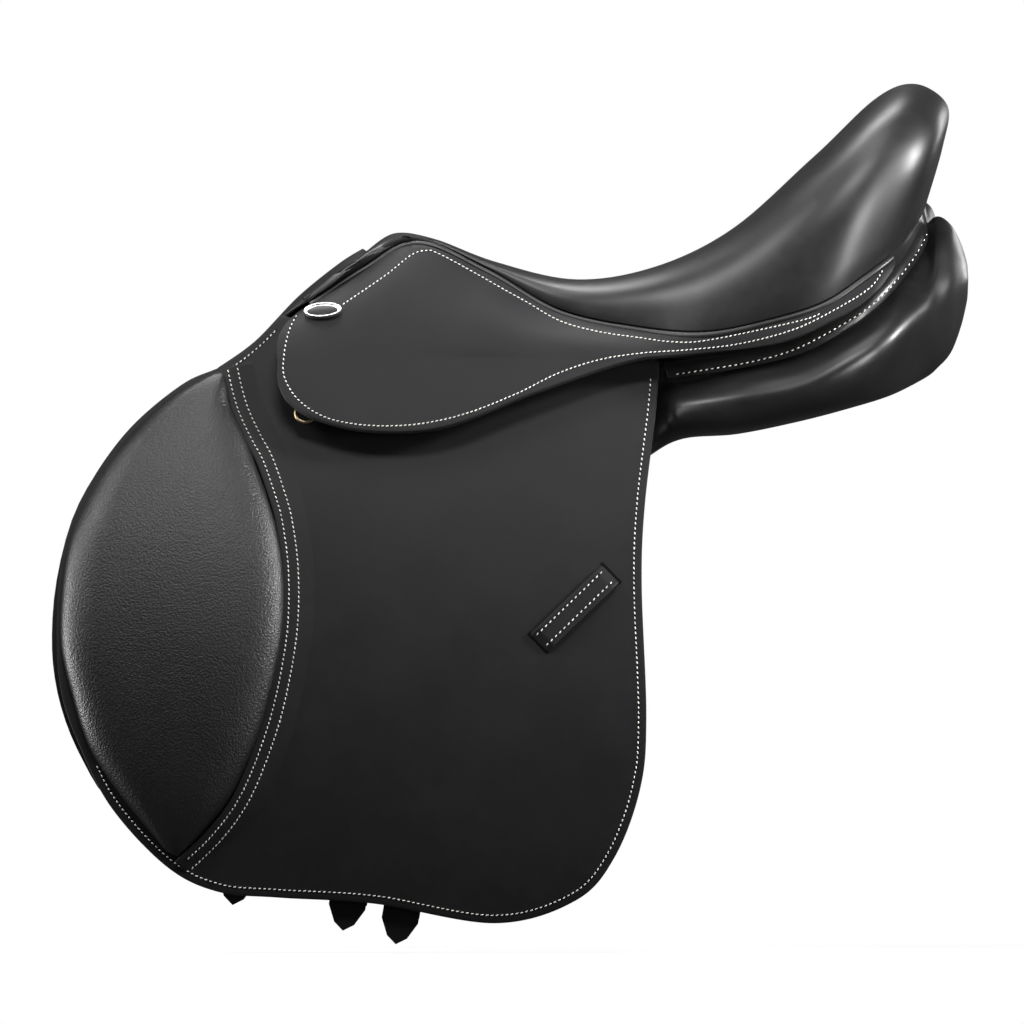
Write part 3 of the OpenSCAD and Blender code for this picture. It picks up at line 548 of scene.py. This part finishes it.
def tuck_point(t, s):
    """Margin at t round the seat, turned down and in as s grows."""
    side = min(max((t - TUCK_SIDE) / (1 - 2 * TUCK_SIDE), 0), 1) * 2 - 1
    u = min(t / TUCK_SIDE, (1 - t) / TUCK_SIDE, 1)
    edge = seat_point(u, side)
    rear = smooth((u - 0.75) / 0.25)
    turned = Vector((TUCK_REAR * rear, -TUCK_IN * side * (1 - 0.6 * rear), -TUCK_DEEP))
    return edge + Vector((-TUCK_SET * rear, -TUCK_SET * side, 1)) + s * turned


whole_piece("seat_tuck", patch(tuck_point, 180, 6, (0.3, -1, 0)), (seat_leather,))

# Skirt: from the welt down to its fold, and on down to the lobe over the stirrup bar
R_SKIRT_MID = R_SKIRT + SKIRT_T / 2
SKIRT_TAIL = [Vector(p) for p in (
    (130, -127.3, 56), (178, -144.9, 62.5), (212, -147, 77), (238, -138.7, 93), (253, -122.8, 112))]
SKIRT_FOLD = [on_barrel(x, SKIRT_FOLD_Z, R_SKIRT_MID)
              for x in (-155.5, -135, -95, -45, 15, 80)] + SKIRT_TAIL
LOBE_EDGE = [on_barrel(x, z, R_SKIRT_MID) for x, z in (
    (-150, 24.5), (-133.5, 13), (-95, 3.6), (-45, 6.3), (15, 29), (80, 50.5))] + SKIRT_TAIL
LOBE_FRONT = [(-155.5, 52), (-156, 44), (-155, 36), (-153, 30), (-150, 24.5)]
SKIRT_BULGE = 0.05
SKIRT_FRONT_BULGE = 8
SKIRT_OUT = Vector((0, -0.8, 0.6))
# Swelling of the skirt over the bar's catch, so that the catch can turn up under it
CATCH_T = 0.35
CATCH_ROOM = 3.2


def welt_at(t):
    """Middle of the near welt, from the pommel to its end under the cantle."""
    w = on_curve(WELT_LINE, t * WELT_TAIL)
    return Vector((w[0], -w[1] - WELT_CLEAR, w[2] - WELT_D / 2 - WELT_CLEAR))


def skirt_upper(t, s, gap=0.6):
    """Skirt above its fold, s from the welt down."""
    low = on_curve(SKIRT_FOLD, t)
    welt = welt_at(t)
    along = (welt_at(min(t + 0.004, 1)) - welt_at(max(t - 0.004, 0))).normalized()
    down = low - welt
    square = (down - along * along.dot(down)).normalized()
    top = welt + square * (WELT_D / 2 + gap)
    out = SKIRT_BULGE * (low - top).length
    ahead = SKIRT_FRONT_BULGE * max(1 - t / 0.15, 0)
    swell = 4 * s * (1 - s)
    room = CATCH_ROOM * math.exp(-((t - CATCH_T) / 0.1) ** 2) * 6.75 * s * s * (1 - s)
    return mix(top, low, s) + Vector((-ahead * swell, 0, 0)) + (out * swell + room) * SKIRT_OUT


def skirt_point(t, s):
    """Skirt at t from pommel to tail, and s from the welt over the fold down to the edge."""
    fold = on_curve(SKIRT_FOLD, t)
    edge = on_curve(LOBE_EDGE, t)
    above = (fold - welt_at(t)).length
    below = (edge - fold).length if edge[2] < fold[2] else 0
    share = above / (above + below)
    if s <= share:
        return skirt_upper(t, s / share)
    w = (s - share) / (1 - share)
    spot = mix(fold, edge, w)
    ends = mix(Vector(LOBE_FRONT[0]), Vector(LOBE_FRONT[-1]), w)
    lead = (on_curve(LOBE_FRONT, w) - ends) * max(1 - t / 0.12, 0)
    off_barrel = fold[1] - side_y(R_SKIRT_MID, fold[2])
    return on_barrel(spot[0] + lead[0], spot[2] + lead[1], R_SKIRT_MID) + Vector((0, off_barrel, 0))


def make_skirt(obj):
    """Thickens the skirt to both sides and rounds its rim."""
    add(obj, "SOLIDIFY", thickness=SKIRT_T * MM, offset=0, use_even_offset=True, material_offset_rim=1)
    add(obj, "BEVEL", width=0.7 * MM, segments=2, limit_method="ANGLE", angle_limit=math.radians(50))


# Two points square to the fold, given as each side's bend ends; no bend is drawn from them
SKIRT_BEND = [on_barrel(0, SKIRT_FOLD_Z + d, R_SKIRT_MID) for d in (7, -7)]
SKIRT_BEND[1].y = SKIRT_BEND[0].y
skirts = each_side(
    "skirt", patch(skirt_point, 150, 44), "skirt_{}", (flap_leather, edge_paint), make_skirt,
    ("skirt_upper_{}", "skirt_lower_{}"), SKIRT_BEND)
skirt_face = Surface(skirts[0])

# Flap: its edge (x, z) from the top rear corner round to the top front
FLAP_EDGE = [
    (98, 50), (95.6, 19), (88, -45), (86, -98), (89, -185), (85, -232), (68, -278), (42, -307),
    (-11, -322), (-91, -309), (-154, -305), (-195, -301), (-229, -284), (-266, -244), (-288, -200),
    (-298.5, -168), (-301.5, -131), (-298.5, -82), (-287.5, -47), (-272, -18), (-249, 10.5), (-217.5, 36),
    (-192, 47.5), (-171.5, 62.5), (-153, 81)]
FLAP_TOP = [(-153, 81), (-120, 74), (-60, 71), (20, 69), (70, 64), (98, 50)]
RUN_STEPS = 300


def run(points, first=0, last=None):
    """Even-speed walk along the smooth curve through the points, between two of them."""
    n = len(points) - 1
    last = n if last is None else last
    fine = [on_curve(points, mix(first, last, i / RUN_STEPS) / n) for i in range(RUN_STEPS + 1)]
    reach = [0]
    for a, b in zip(fine, fine[1:]):
        reach.append(reach[-1] + (b - a).length)

    def walk(t):
        """Point at the share t of the length."""
        goal = t * reach[-1]
        low, high = 0, RUN_STEPS
        while high - low > 1:
            half = (low + high) // 2
            low, high = (half, high) if reach[half] <= goal else (low, half)
        return mix(fine[low], fine[high], (goal - reach[low]) / (reach[high] - reach[low]))

    return walk


def span(top, low, front, rear):
    """Patch of (x, z) spanned between four edges; u from front to rear, v from top to bottom."""

    def at(u, v):
        """Place between the edges."""
        corners = mix(mix(top(0), top(1), u), mix(low(0), low(1), u), v)
        return mix(top(u), low(u), v) + mix(front(v), rear(v), u) - corners

    return at


# Places in the edge's list where its rear ends, its lower side ends and its front ends
REAR_END, LOW_END, FRONT_END = 6, 12, 24
flap_rear = run(FLAP_EDGE, 0, REAR_END)
flap_low = run(FLAP_EDGE, LOW_END, REAR_END)
flap_front = run(FLAP_EDGE, FRONT_END, LOW_END)
flap_span = span(run(FLAP_TOP), flap_low, flap_front, flap_rear)


def flap_point(u, v):
    """Outer face of the flap."""
    x, z = flap_span(u, v)
    return on_barrel(x, z, R_FLAP_OUT)


# Ends of the flap's fold line, and the half width across it of the two points given as bend ends; no bend
# is drawn from them
FOLD_A = Vector((-195, -109.825, 33))
FOLD_B = Vector((88, -167.291, -97.18))
BEND_HALF = 9
FOLD_DIR = (FOLD_B - FOLD_A).normalized()
FOLD_MID = (FOLD_A + FOLD_B) / 2
FOLD_UP = FOLD_DIR.cross(Vector((0, -1, 0.2))).normalized()
if FOLD_UP.z < 0:
    FOLD_UP = -FOLD_UP
FLAP_BEND = [FOLD_MID + FOLD_UP * BEND_HALF, FOLD_MID - FOLD_UP * BEND_HALF]
flaps = each_side(
    "flap", patch(flap_point, 120, 120), "flap_{}", (flap_leather, edge_paint),
    lambda obj: sheet_solid(obj, FLAP_T, 0.8), ("flap_upper_{}", "flap_lower_{}"), FLAP_BEND)
flap_face = Surface(flaps[0])

# Knee pad: its front and rear edges (x, z) from top to bottom
PAD_FRONT = [
    (-196, 43), (-207, 38.5), (-226, 27.5), (-247, 8.5), (-267, -15), (-282.5, -43), (-293, -70),
    (-298, -103), (-298.5, -138), (-291.5, -170), (-280, -205), (-260.5, -235.5), (-244, -256),
    (-229, -274)]
PAD_REAR = [
    (-191, 42), (-188.5, 34), (-186, 20), (-178, 3), (-170, -18), (-162, -40), (-155, -65),
    (-151, -95), (-152, -132), (-159, -168), (-170, -204), (-186, -238), (-205, -262), (-221, -278)]
PAD_CROWN = 17
PAD_EDGE = 1.5
PAD_BACK = 0.3
# Share of the ring that is the pad's outside, and shares of its width where it rises and starts to fall
PAD_TOP_SHARE = 0.72
PAD_RISE = 0.2
PAD_FALL = 0.5
PAD_FALL_POWER = 2.4


def pad_point(t, a):
    """Closed ring of the pad: over its crown while a is small, then back along the flap."""
    front = on_curve(PAD_FRONT, t)
    rear = on_curve(PAD_REAR, t)
    ends = math.sin(math.pi * min(max(t, 0.004), 0.996)) ** 0.5
    if a <= PAD_TOP_SHARE:
        w = 0.5 - 0.5 * math.cos(math.pi * a / PAD_TOP_SHARE)
        rise = math.sqrt(1 - (1 - min(w / PAD_RISE, 1)) ** 2)
        fall = math.sqrt(max(1 - max((w - PAD_FALL) / (1 - PAD_FALL), 0) ** PAD_FALL_POWER, 0))
        dome = 0.8 + 0.2 * math.sin(math.pi * min(w, 0.5))
        high = PAD_EDGE + PAD_CROWN * ends * rise * fall * dome
    else:
        w = 1 - (a - PAD_TOP_SHARE) / (1 - PAD_TOP_SHARE)
        high = PAD_BACK
    x, z = mix(front, rear, w)
    return on_barrel(x, z, R_FLAP_OUT + high)


pads = each_side("knee_pad", closed_patch(pad_point, 120, 84), "flap_{}", (pad_leather,), None,
                 ("knee_pad_{}",), FLAP_BEND, 60)

# Edge of the smooth flap leather that laps over the rear of the knee pad
LAP_EDGE = [
    (-193.4, 45.5), (-190, 30), (-185, 14), (-176.5, -4), (-169, -18), (-161, -41), (-156.5, -58),
    (-152.6, -90), (-153.4, -128), (-160.5, -170), (-170.5, -204), (-184.5, -237), (-202, -261),
    (-223, -281)]
LAP_WIDE = 27
LAP_HIGH = 3.4
LAP_SINK = 0.5
LAP_T = 1.8


def behind(points, t, gap):
    """Point at a distance behind an edge that runs down, square to it."""
    along = on_curve(points, min(t + 0.003, 1)) - on_curve(points, max(t - 0.003, 0))
    return on_curve(points, t) + Vector((-along[1], along[0])).normalized() * gap


def lap_point(t, s):
    """Lap at t from top to bottom and s back from its edge; it narrows at its lower end."""
    narrow = 1 - 0.5 * smooth((t - 0.82) / 0.18)
    x, z = behind(LAP_EDGE, t, s * LAP_WIDE * narrow)
    return on_barrel(x, z, R_FLAP_OUT + mix(LAP_HIGH, -LAP_SINK, smooth(s * 0.97)))


laps = each_side("flap_lap", patch(lap_point, 150, 14), "flap_{}", (flap_leather, edge_paint),
                 lambda obj: sheet_solid(obj, LAP_T, 0.4), (), FLAP_BEND)
lap_face = Surface(laps[0])

# Keeper loop, its ends let into slits in the flap
KEEPER = (41.5, -113.5)
KEEPER_L = 66
KEEPER_W = 16
KEEPER_T = 2.4
KEEPER_TILT = math.radians(44)
KEEPER_HIGH = 4.6
KEEPER_END_HIGH = 1.2
KEEPER_END = 6


def keeper_place(along, across):
    """Place (x, z) on the keeper, from its middle."""
    return Vector((
        KEEPER[0] + along * math.cos(KEEPER_TILT) - across * math.sin(KEEPER_TILT),
        KEEPER[1] + along * math.sin(KEEPER_TILT) + across * math.cos(KEEPER_TILT)))


def keeper_point(u, v):
    """Outer face of the keeper, sinking toward both ends."""
    along = (u - 0.5) * KEEPER_L
    x, z = keeper_place(along, (v - 0.5) * KEEPER_W)
    sunk = smooth((abs(along) - KEEPER_L / 2 + KEEPER_END) / KEEPER_END)
    return on_barrel(x, z, R_FLAP_OUT + mix(KEEPER_HIGH, KEEPER_END_HIGH, sunk))


keepers = each_side("keeper", patch(keeper_point, 44, 10), "flap_{}", (flap_leather, edge_paint),
                    lambda obj: sheet_solid(obj, KEEPER_T, 0.6), ("keeper_loop_{}",), None)
keeper_face = Surface(keepers[0])
# Dark sheets of painted shade over the slits at the keeper's ends
SLIT_W = 2.6
SLIT_L = KEEPER_W + 3
SLIT_OFF = KEEPER_L / 2 + 0.4
SLIT_LIFT = 0.2
for end, sign in (("front", -1), ("rear", 1)):

    def slit_shade_point(u, v):
        """Painted shade at this end of the keeper: a dark sheet over the slit, where its shadow falls."""
        x, z = keeper_place(sign * SLIT_OFF + (u - 0.5) * SLIT_W, (v - 0.5) * SLIT_L)
        return on_barrel(x, z, R_FLAP_OUT + SLIT_LIFT)

    each_side("keeper_slit_" + end, patch(slit_shade_point, 2, 8), "flap_{}", (painted_hole_shade,))

# Panel: rings of (y, z) points at stations along x
PANEL_IN = CHANNEL_HALF + 3
PANEL_X = [-176, -150, -60, 40, 84, 112, 150, 191, 225, 252, 274, 283, 292, 299, 303.5]


def panel_out(share):
    """Half width of the panel's side, from a share of the seat's."""
    return SEAT_HALF * share + PANEL_PROUD


PANEL_RINGS = [
    [(40, 22), (52, 24), (62, 16), (72, 2), (84, -18), (70, -26), (44, 4)],
    [(PANEL_IN, 46), (46, 48), (58, 38), (76, 16), (112, -26), (92, -40), (PANEL_IN + 4, 12)],
    [(PANEL_IN, 54), (46, 55), (60, 42), (78, 14), (114.5, -28), (94, -42), (PANEL_IN + 3, 16)],
    [(PANEL_IN, 58), (54, 58), (64, 44), (80, 14), (114.5, -28), (94, -42), (PANEL_IN + 3, 16)],
    [(PANEL_IN, 60), (66, 58), (80, 42), (90, 14), (105, -8), (92, -16), (PANEL_IN + 3, 18)],
    [(PANEL_IN, 62), (84, 57), (102, 38), (121, 20), (114, 3), (92, 0), (PANEL_IN + 3, 24)],
    [(PANEL_IN, 64), (98, 57), (122, 43), (panel_out(0.93), 25), (130, 5), (96, 5), (PANEL_IN + 3, 30)],
    [(PANEL_IN, 78), (108, 67), (133, 53), (panel_out(1), 32), (138, 13), (100, 14), (PANEL_IN + 3, 44)],
    [(PANEL_IN, 100), (108, 87), (133, 70), (panel_out(1), 48), (138, 23), (102, 23.5), (PANEL_IN + 3, 62)],
    [(PANEL_IN, 117), (88, 104), (114, 91), (panel_out(0.92), 64), (124, 32), (95, 33), (PANEL_IN + 3, 76)],
    [(PANEL_IN, 138), (57, 128), (84, 109), (panel_out(0.73), 82), (98, 45.5), (76, 43),
     (PANEL_IN + 4, 88)],
    [(PANEL_IN, 144.5), (53, 137), (76, 119), (99, 88), (90, 52.5), (70, 50), (PANEL_IN + 4, 93)],
    [(PANEL_IN, 139), (49, 135), (66, 121), (85, 97), (76, 62.5), (60, 60), (PANEL_IN + 4, 98)],
    [(PANEL_IN, 127), (46, 125), (57, 117), (69, 102), (62, 79), (50, 77), (PANEL_IN + 5, 103)],
    [(PANEL_IN + 2, 113), (43, 113), (50, 110), (56, 104), (53, 96), (46, 95), (PANEL_IN + 5, 105)]]
PANEL_LINES = [[ring[k] for ring in PANEL_RINGS] for k in range(7)]
PANEL_X_LINE = [(x, 0) for x in PANEL_X]
PANEL_END = 0.02


def panel_point(t, a):
    """Panel at t from front to rear and a round its ring, rounded off at both ends."""
    ring = [on_curve(line, t) for line in PANEL_LINES]
    y, z = on_ring(ring, a % 1)
    middle = sum(ring, Vector((0, 0))) / len(ring)
    close = min(t / PANEL_END, (1 - t) / PANEL_END, 1)
    round_off = math.sqrt(max(1 - (1 - close) ** 2, 0.02))
    x = on_curve(PANEL_X_LINE, t)[0]
    return Vector((x, -mix(middle[0], y, round_off), mix(middle[1], z, round_off)))


panels = each_side("panel", closed_patch(panel_point, 130, 70), ROOT, (panel_leather,), None,
                   ("panel_{}",), None, 60)


def tube_mesh(path, width, rings):
    """Closed round tube along path(t)."""

    def at(t, a):
        """Point at t along the tube and a round it."""
        along = (path(min(t + 0.002, 1)) - path(max(t - 0.002, 0))).normalized()
        side = along.cross(Vector((0, 0, 1))).normalized()
        up = side.cross(along)
        return path(t) + width / 2 * (side * math.cos(math.tau * a) + up * math.sin(math.tau * a))

    return closed_patch(at, rings, 12)


each_side("welt", tube_mesh(welt_at, WELT_D, 220), ROOT, (seat_leather,), None,
          ("seat_welt_{}",), None, 60)

# Second roll beside the welt, round the front of the seat
ROLL_END = 0.27
ROLL_OFF = Vector((-4, 2.2, 3.4))


def roll_at(t):
    """Middle of the roll, which comes down on the welt at its rear end."""
    return welt_at(t * ROLL_END) + ROLL_OFF * (1 - smooth((t - 0.75) / 0.25))


each_side("pommel_roll", tube_mesh(roll_at, WELT_D, 70), ROOT, (flap_leather,),
          sharp=60)

# Rear facing: lower edge from the flap round to the middle of the back
FACING_LOW = [
    (103, -106.3, 39), (143, -123.7, 44), (191, -136.9, 55), (225, -136.9, 73), (245, -127.9, 88),
    (262, -104.3, 107), (275, -65.3, 126.5), (282, -0.2, 147)]
FACING_W = 11
FACING_T = 2.6
FACING_PUFF = 1.6


def facing_rear_point(t, s):
    """Rear facing at t toward the back, and s up from its lower edge."""
    low = on_curve(FACING_LOW, t)
    high = low + Vector((-2 - 6 * t ** 4, 3.5 * min(-low[1] / 40, 1), FACING_W))
    puff = FACING_PUFF * math.sin(math.pi * s)
    out = Vector((0.5 * t, -1 + t, 0.3)).normalized()
    return mix(low, high, s) + out * puff


facings = each_side("rear_facing", patch(facing_rear_point, 90, 10, (0.3, -1, 0.2)), ROOT,
                    (panel_leather, edge_paint), lambda obj: sheet_solid(obj, FACING_T, 0.6),
                    ("rear_facing_{}",), None)
facing_face = Surface(facings[0])

# Front facing: forward edge from the near side over the pommel to the off side
FRONT_HALF = [(-196, -90, 46), (-171, -78, 64), (-144, -57, 92), (-119, -34, 111.5), (-103, -10, 120.6)]
FRONT_EDGE = FRONT_HALF + [(x, -y, z) for x, y, z in reversed(FRONT_HALF)]
FRONT_WIDE = 24
FRONT_T = 2.8
FRONT_PUFF = 1.2


def facing_front_point(t, s):
    """Front facing at t from the near side over to the off side, and s back from its edge."""
    edge = on_curve(FRONT_EDGE, t)
    puff = FRONT_PUFF * math.sin(math.pi * s)
    return edge + Vector((s * FRONT_WIDE, 0, puff))


whole_piece("front_facing", patch(facing_front_point, 100, 10, (-0.3, 0, 1)), (flap_leather, edge_paint),
            lambda obj: sheet_solid(obj, FRONT_T, 0.7), ("front_facing",))

# Front of the seat's leather, drawn over the pommel between these shares of the front facing's edge
POMMEL_FROM, POMMEL_TO = 0.12, 0.88
POMMEL_T = 1.8
POMMEL_LIFT = 2
POMMEL_BELLY = 2.2


def pommel_point(t, s):
    """Leather from the seat's first row, at s of 0, to the front facing."""
    row = seat_point(0, 2 * t - 1)
    lift = Vector((1, 0, POMMEL_LIFT * math.sin(math.pi * t)))
    front = on_curve(FRONT_EDGE, mix(POMMEL_FROM, POMMEL_TO, t)) + lift
    return mix(row, front, s) + Vector((-0.5, 0, 0.8)) * POMMEL_BELLY * math.sin(math.pi * s)


whole_piece("pommel_front", patch(pommel_point, 90, 12, (-0.5, 0, 1)), (seat_leather, edge_paint),
            lambda obj: sheet_solid(obj, POMMEL_T, 0.4))

# Blank enamel field in the badge's rim
BADGE_T, BADGE_S, BADGE_SPIN = 0.085, 0.53, 94
BADGE_GAP = 1.2
BADGE_HALF = (11.8, 6.3, 0.75)
BADGE_LIFT = 2.1


def skirt_normal(t, s, e=0.004):
    """Outward direction of the skirt above its fold."""
    along = skirt_upper(t + e, s, BADGE_GAP) - skirt_upper(t - e, s, BADGE_GAP)
    down = skirt_upper(t, s + e, BADGE_GAP) - skirt_upper(t, s - e, BADGE_GAP)
    return down.cross(along).normalized()


badge_up = skirt_normal(BADGE_T, BADGE_S)
badge_turn = (Matrix.Rotation(math.atan2(badge_up.y, badge_up.x), 4, "Z")
              @ Matrix.Rotation(math.acos(badge_up.z), 4, "Y")
              @ Matrix.Rotation(math.radians(BADGE_SPIN), 4, "Z"))
badge_spot = skirt_upper(BADGE_T, BADGE_S, BADGE_GAP) + badge_up * (SKIRT_T / 2 + BADGE_LIFT)
mesh = bmesh.new()
bmesh.ops.create_uvsphere(mesh, u_segments=40, v_segments=16, radius=1,
                          matrix=Matrix.Diagonal((*BADGE_HALF, 1)))
bmesh.ops.bisect_plane(mesh, geom=mesh.verts[:] + mesh.edges[:] + mesh.faces[:], plane_co=(0, 0, -0.05),
                       plane_no=(0, 0, -1), clear_outer=True)
bmesh.ops.holes_fill(mesh, edges=[e for e in mesh.edges if e.is_boundary], sides=0)
bmesh.ops.recalc_face_normals(mesh, faces=mesh.faces)
bmesh.ops.transform(mesh, matrix=Matrix.Translation(badge_spot) @ badge_turn, verts=mesh.verts)
each_side("badge_field", mesh, ROOT, (black_enamel,), sharp=60)


def inset(points, gap, first=0.0, last=1.0, steps=160):
    """Line inside an edge that runs clockwise as seen from the near side, at an even gap."""
    out = []
    for i in range(steps + 1):
        t = mix(first, last, i / steps)
        along = on_curve(points, min(t + 0.002, 1)) - on_curve(points, max(t - 0.002, 0))
        out.append(on_curve(points, t) + Vector((along[1], -along[0])).normalized() * gap)
    return out


STITCHES = (cream_thread, painted_hole_shade)
flap_rows = [inset(FLAP_EDGE, 5.2, 0.02, 0.565), inset(FLAP_EDGE, 4.2, 0.917, 0.985, 40)]
each_side("flap_stitches", stitch_mesh(flap_face, flap_rows, 3.3), "flap_{}", STITCHES, bend=FLAP_BEND)

LAP_STEPS = 60
lap_rows = [[behind(LAP_EDGE, mix(0.01, 0.985, i / LAP_STEPS), gap) for i in range(LAP_STEPS + 1)]
            for gap in (4.5, 11)]
each_side("lap_stitches", stitch_mesh(lap_face, lap_rows, 3.1), "flap_{}", STITCHES, bend=FLAP_BEND)

SKIRT_ROW = [
    (-141, 84), (-147.5, 72), (-151.2, 55), (-151, 39.8), (-141.5, 24.4), (-123.7, 13), (-100, 8),
    (-73.9, 7.5), (-50.2, 10.5), (-26.5, 16.8), (4.4, 29.3), (30, 42), (57, 51), (85, 55.5), (119, 58),
    (152, 62), (189, 72), (221.5, 88.5), (238, 99.5), (245, 109), (247.5, 115)]
SKIRT_INNER = [
    (-113, 87.5), (-84, 107.5), (-67, 121), (-56.5, 124), (-49, 122), (-30, 112), (-15, 103.5), (0, 95),
    (10, 89.5), (32, 77), (57, 70), (85, 65.8), (108, 63), (132, 64.5), (191, 77), (206.5, 83)]
each_side("skirt_stitches", stitch_mesh(skirt_face, [SKIRT_ROW, SKIRT_INNER], 3.0), "skirt_{}", STITCHES,
          bend=SKIRT_BEND)

keeper_rows = [[keeper_place(along, across) for along in (-31.5, -10, 10, 31.5)]
               for across in (-4.7, 4.7)]
each_side("keeper_stitches", stitch_mesh(keeper_face, keeper_rows, 3.9), "flap_{}", STITCHES)

FACING_ROW = [
    (108, 41.5), (128, 44.5), (162, 50.5), (191, 59.5), (225, 78), (242, 90.5), (257, 106), (268.5, 121.5),
    (275, 133), (279, 144)]
each_side("facing_stitches", stitch_mesh(facing_face, [FACING_ROW], 3.9), ROOT, STITCHES)

# Finishes of the solids that show as they are
FINISHES = {
    "tree": beech, "tree_point": beech, "spring": steel, "gullet_plate": steel, "head_rivets": steel,
    "seat_webs": webbing, "cross_web": webbing, "seat_foam": webbing, "girth_web": webbing,
    "gullet_lining": panel_leather, "sweat_flap": flap_leather, "billet": strap_leather,
    "stirrup_bar": steel, "bar_catch": steel, "catch_pins": steel, "dee_ring": brass,
    "dee_chape": strap_leather, "dee_studs": brass, "badge": chrome}
for name, node in nodes.items():
    for start, material in FINISHES.items():
        if name.startswith(start):
            node.data.materials.clear()
            node.data.materials.append(material)

# Camera square on to the near side, with a long lens; the view's width is taken at PLANE_Y
VIEW_W = 0.68
VIEW_Z = -0.0498
VIEW_X = 0.0
DISTANCE = 30.0
PLANE_Y = -0.10
SENSOR_W = 36
camera_data = bpy.data.cameras.new("camera")
camera_data.sensor_width = SENSOR_W
camera_data.lens = SENSOR_W * (DISTANCE + PLANE_Y) / VIEW_W
camera = bpy.data.objects.new("camera", camera_data)
camera.location = (VIEW_X, -DISTANCE, VIEW_Z)
camera.rotation_euler = (math.radians(90), 0, 0)
scene.collection.objects.link(camera)
scene.camera = camera

# Floor, white to the camera and faintly so to reflections, that still takes a shadow
FLOOR_Z = -0.342
FLOOR_HALF = 4
GLOSS_SHARE = 0.03
SKY_LEVEL = 0.01
PAPER_SEEN = 0.85
PAPER_LIT = 0.06
mesh = bmesh.new()
bmesh.ops.create_grid(mesh, x_segments=8, y_segments=8, size=FLOOR_HALF)
bmesh.ops.translate(mesh, vec=(0, 0, FLOOR_Z), verts=mesh.verts)
data = bpy.data.meshes.new("floor")
mesh.to_mesh(data)
mesh.free()
floor = bpy.data.objects.new("floor", data)
scene.collection.objects.link(floor)
look = Look("floor")
path = look.tree.nodes.new("ShaderNodeLightPath")
to_camera = Val(look, path.outputs["Is Camera Ray"])
to_gloss = Val(look, path.outputs["Is Glossy Ray"])
seen = to_camera + Val(look, path.outputs["Is Transmission Ray"]) + GLOSS_SHARE * to_gloss
paper = look.node("ShaderNodeBsdfDiffuse", None,
                  {"Color": look.tint(to_camera, (PAPER_LIT,) * 3, (PAPER_SEEN,) * 3)})
white = look.node("ShaderNodeEmission", None, {"Color": (1, 1, 1, 1), "Strength": 1.0})
reach = look.node("ShaderNodeVectorMath", {"operation": "LENGTH"}, {0: look.place}, "Value")
blank = 0.9 + 0.1 * reach.between(0.35, 0.9)
surface = look.node("ShaderNodeMixShader", None, {0: seen * blank, 1: paper, 2: white})
look.tree.links.new(surface.socket, look.out.inputs["Surface"])
floor.data.materials.append(look.material)

# Backdrop, white to the camera and faintly so to reflections
world = bpy.data.worlds.new("studio")
world.use_nodes = True
scene.world = world
tree = world.node_tree
tree.nodes.clear()
ray = tree.nodes.new("ShaderNodeLightPath")
share = tree.nodes.new("ShaderNodeMath")
share.operation = "MULTIPLY_ADD"
share.inputs[1].default_value = GLOSS_SHARE
level = tree.nodes.new("ShaderNodeMath")
level.operation = "MAXIMUM"
level.inputs[1].default_value = SKY_LEVEL
sky = tree.nodes.new("ShaderNodeBackground")
out = tree.nodes.new("ShaderNodeOutputWorld")
tree.links.new(ray.outputs["Is Glossy Ray"], share.inputs[0])
tree.links.new(ray.outputs["Is Camera Ray"], share.inputs[2])
tree.links.new(share.outputs["Value"], level.inputs[0])
tree.links.new(level.outputs["Value"], sky.inputs["Strength"])
tree.links.new(sky.outputs["Background"], out.inputs["Surface"])
sky.inputs["Color"].default_value = (1, 1, 1, 1)


def lamp(name, place, aim, size, watts, spread=180):
    """Rectangular lamp that faces a point."""
    data = bpy.data.lights.new(name, "AREA")
    data.shape = "RECTANGLE"
    data.size, data.size_y = size
    data.energy = watts
    data.spread = math.radians(spread)
    obj = bpy.data.objects.new(name, data)
    obj.location = place
    obj.rotation_euler = (Vector(aim) - Vector(place)).to_track_quat("-Z", "Y").to_euler()
    scene.collection.objects.link(obj)


MIDDLE = (0.05, -0.1, 0.03)
lamp("left_low", (-1.54, -0.24, 0.11), MIDDLE, (0.3, 0.8), 27)
lamp("left_high", (-1.15, -0.49, 1.02), MIDDLE, (0.5, 0.4), 12)
lamp("front", (-0.03, -1.1, 1.28), MIDDLE, (0.7, 0.3), 14)
lamp("over", (-0.06, -0.41, 1.6), MIDDLE, (0.9, 0.4), 7)
lamp("back", (-0.18, 0.54, 1.48), MIDDLE, (1.0, 0.4), 18)
lamp("seat_side", (1.03, -1.4, 0.24), (0.24, -0.12, 0.14), (0.3, 0.6), 0.9, 30)
lamp("panel_side", (1.49, -0.57, 0.81), (0.26, -0.12, 0.08), (0.25, 0.3), 2.6, 40)
lamp("rim", (1.04, 1.15, 0.45), (0.28, 0, 0.2), (0.2, 0.5), 0.2, 40)
scene.view_settings.view_transform = "Standard"
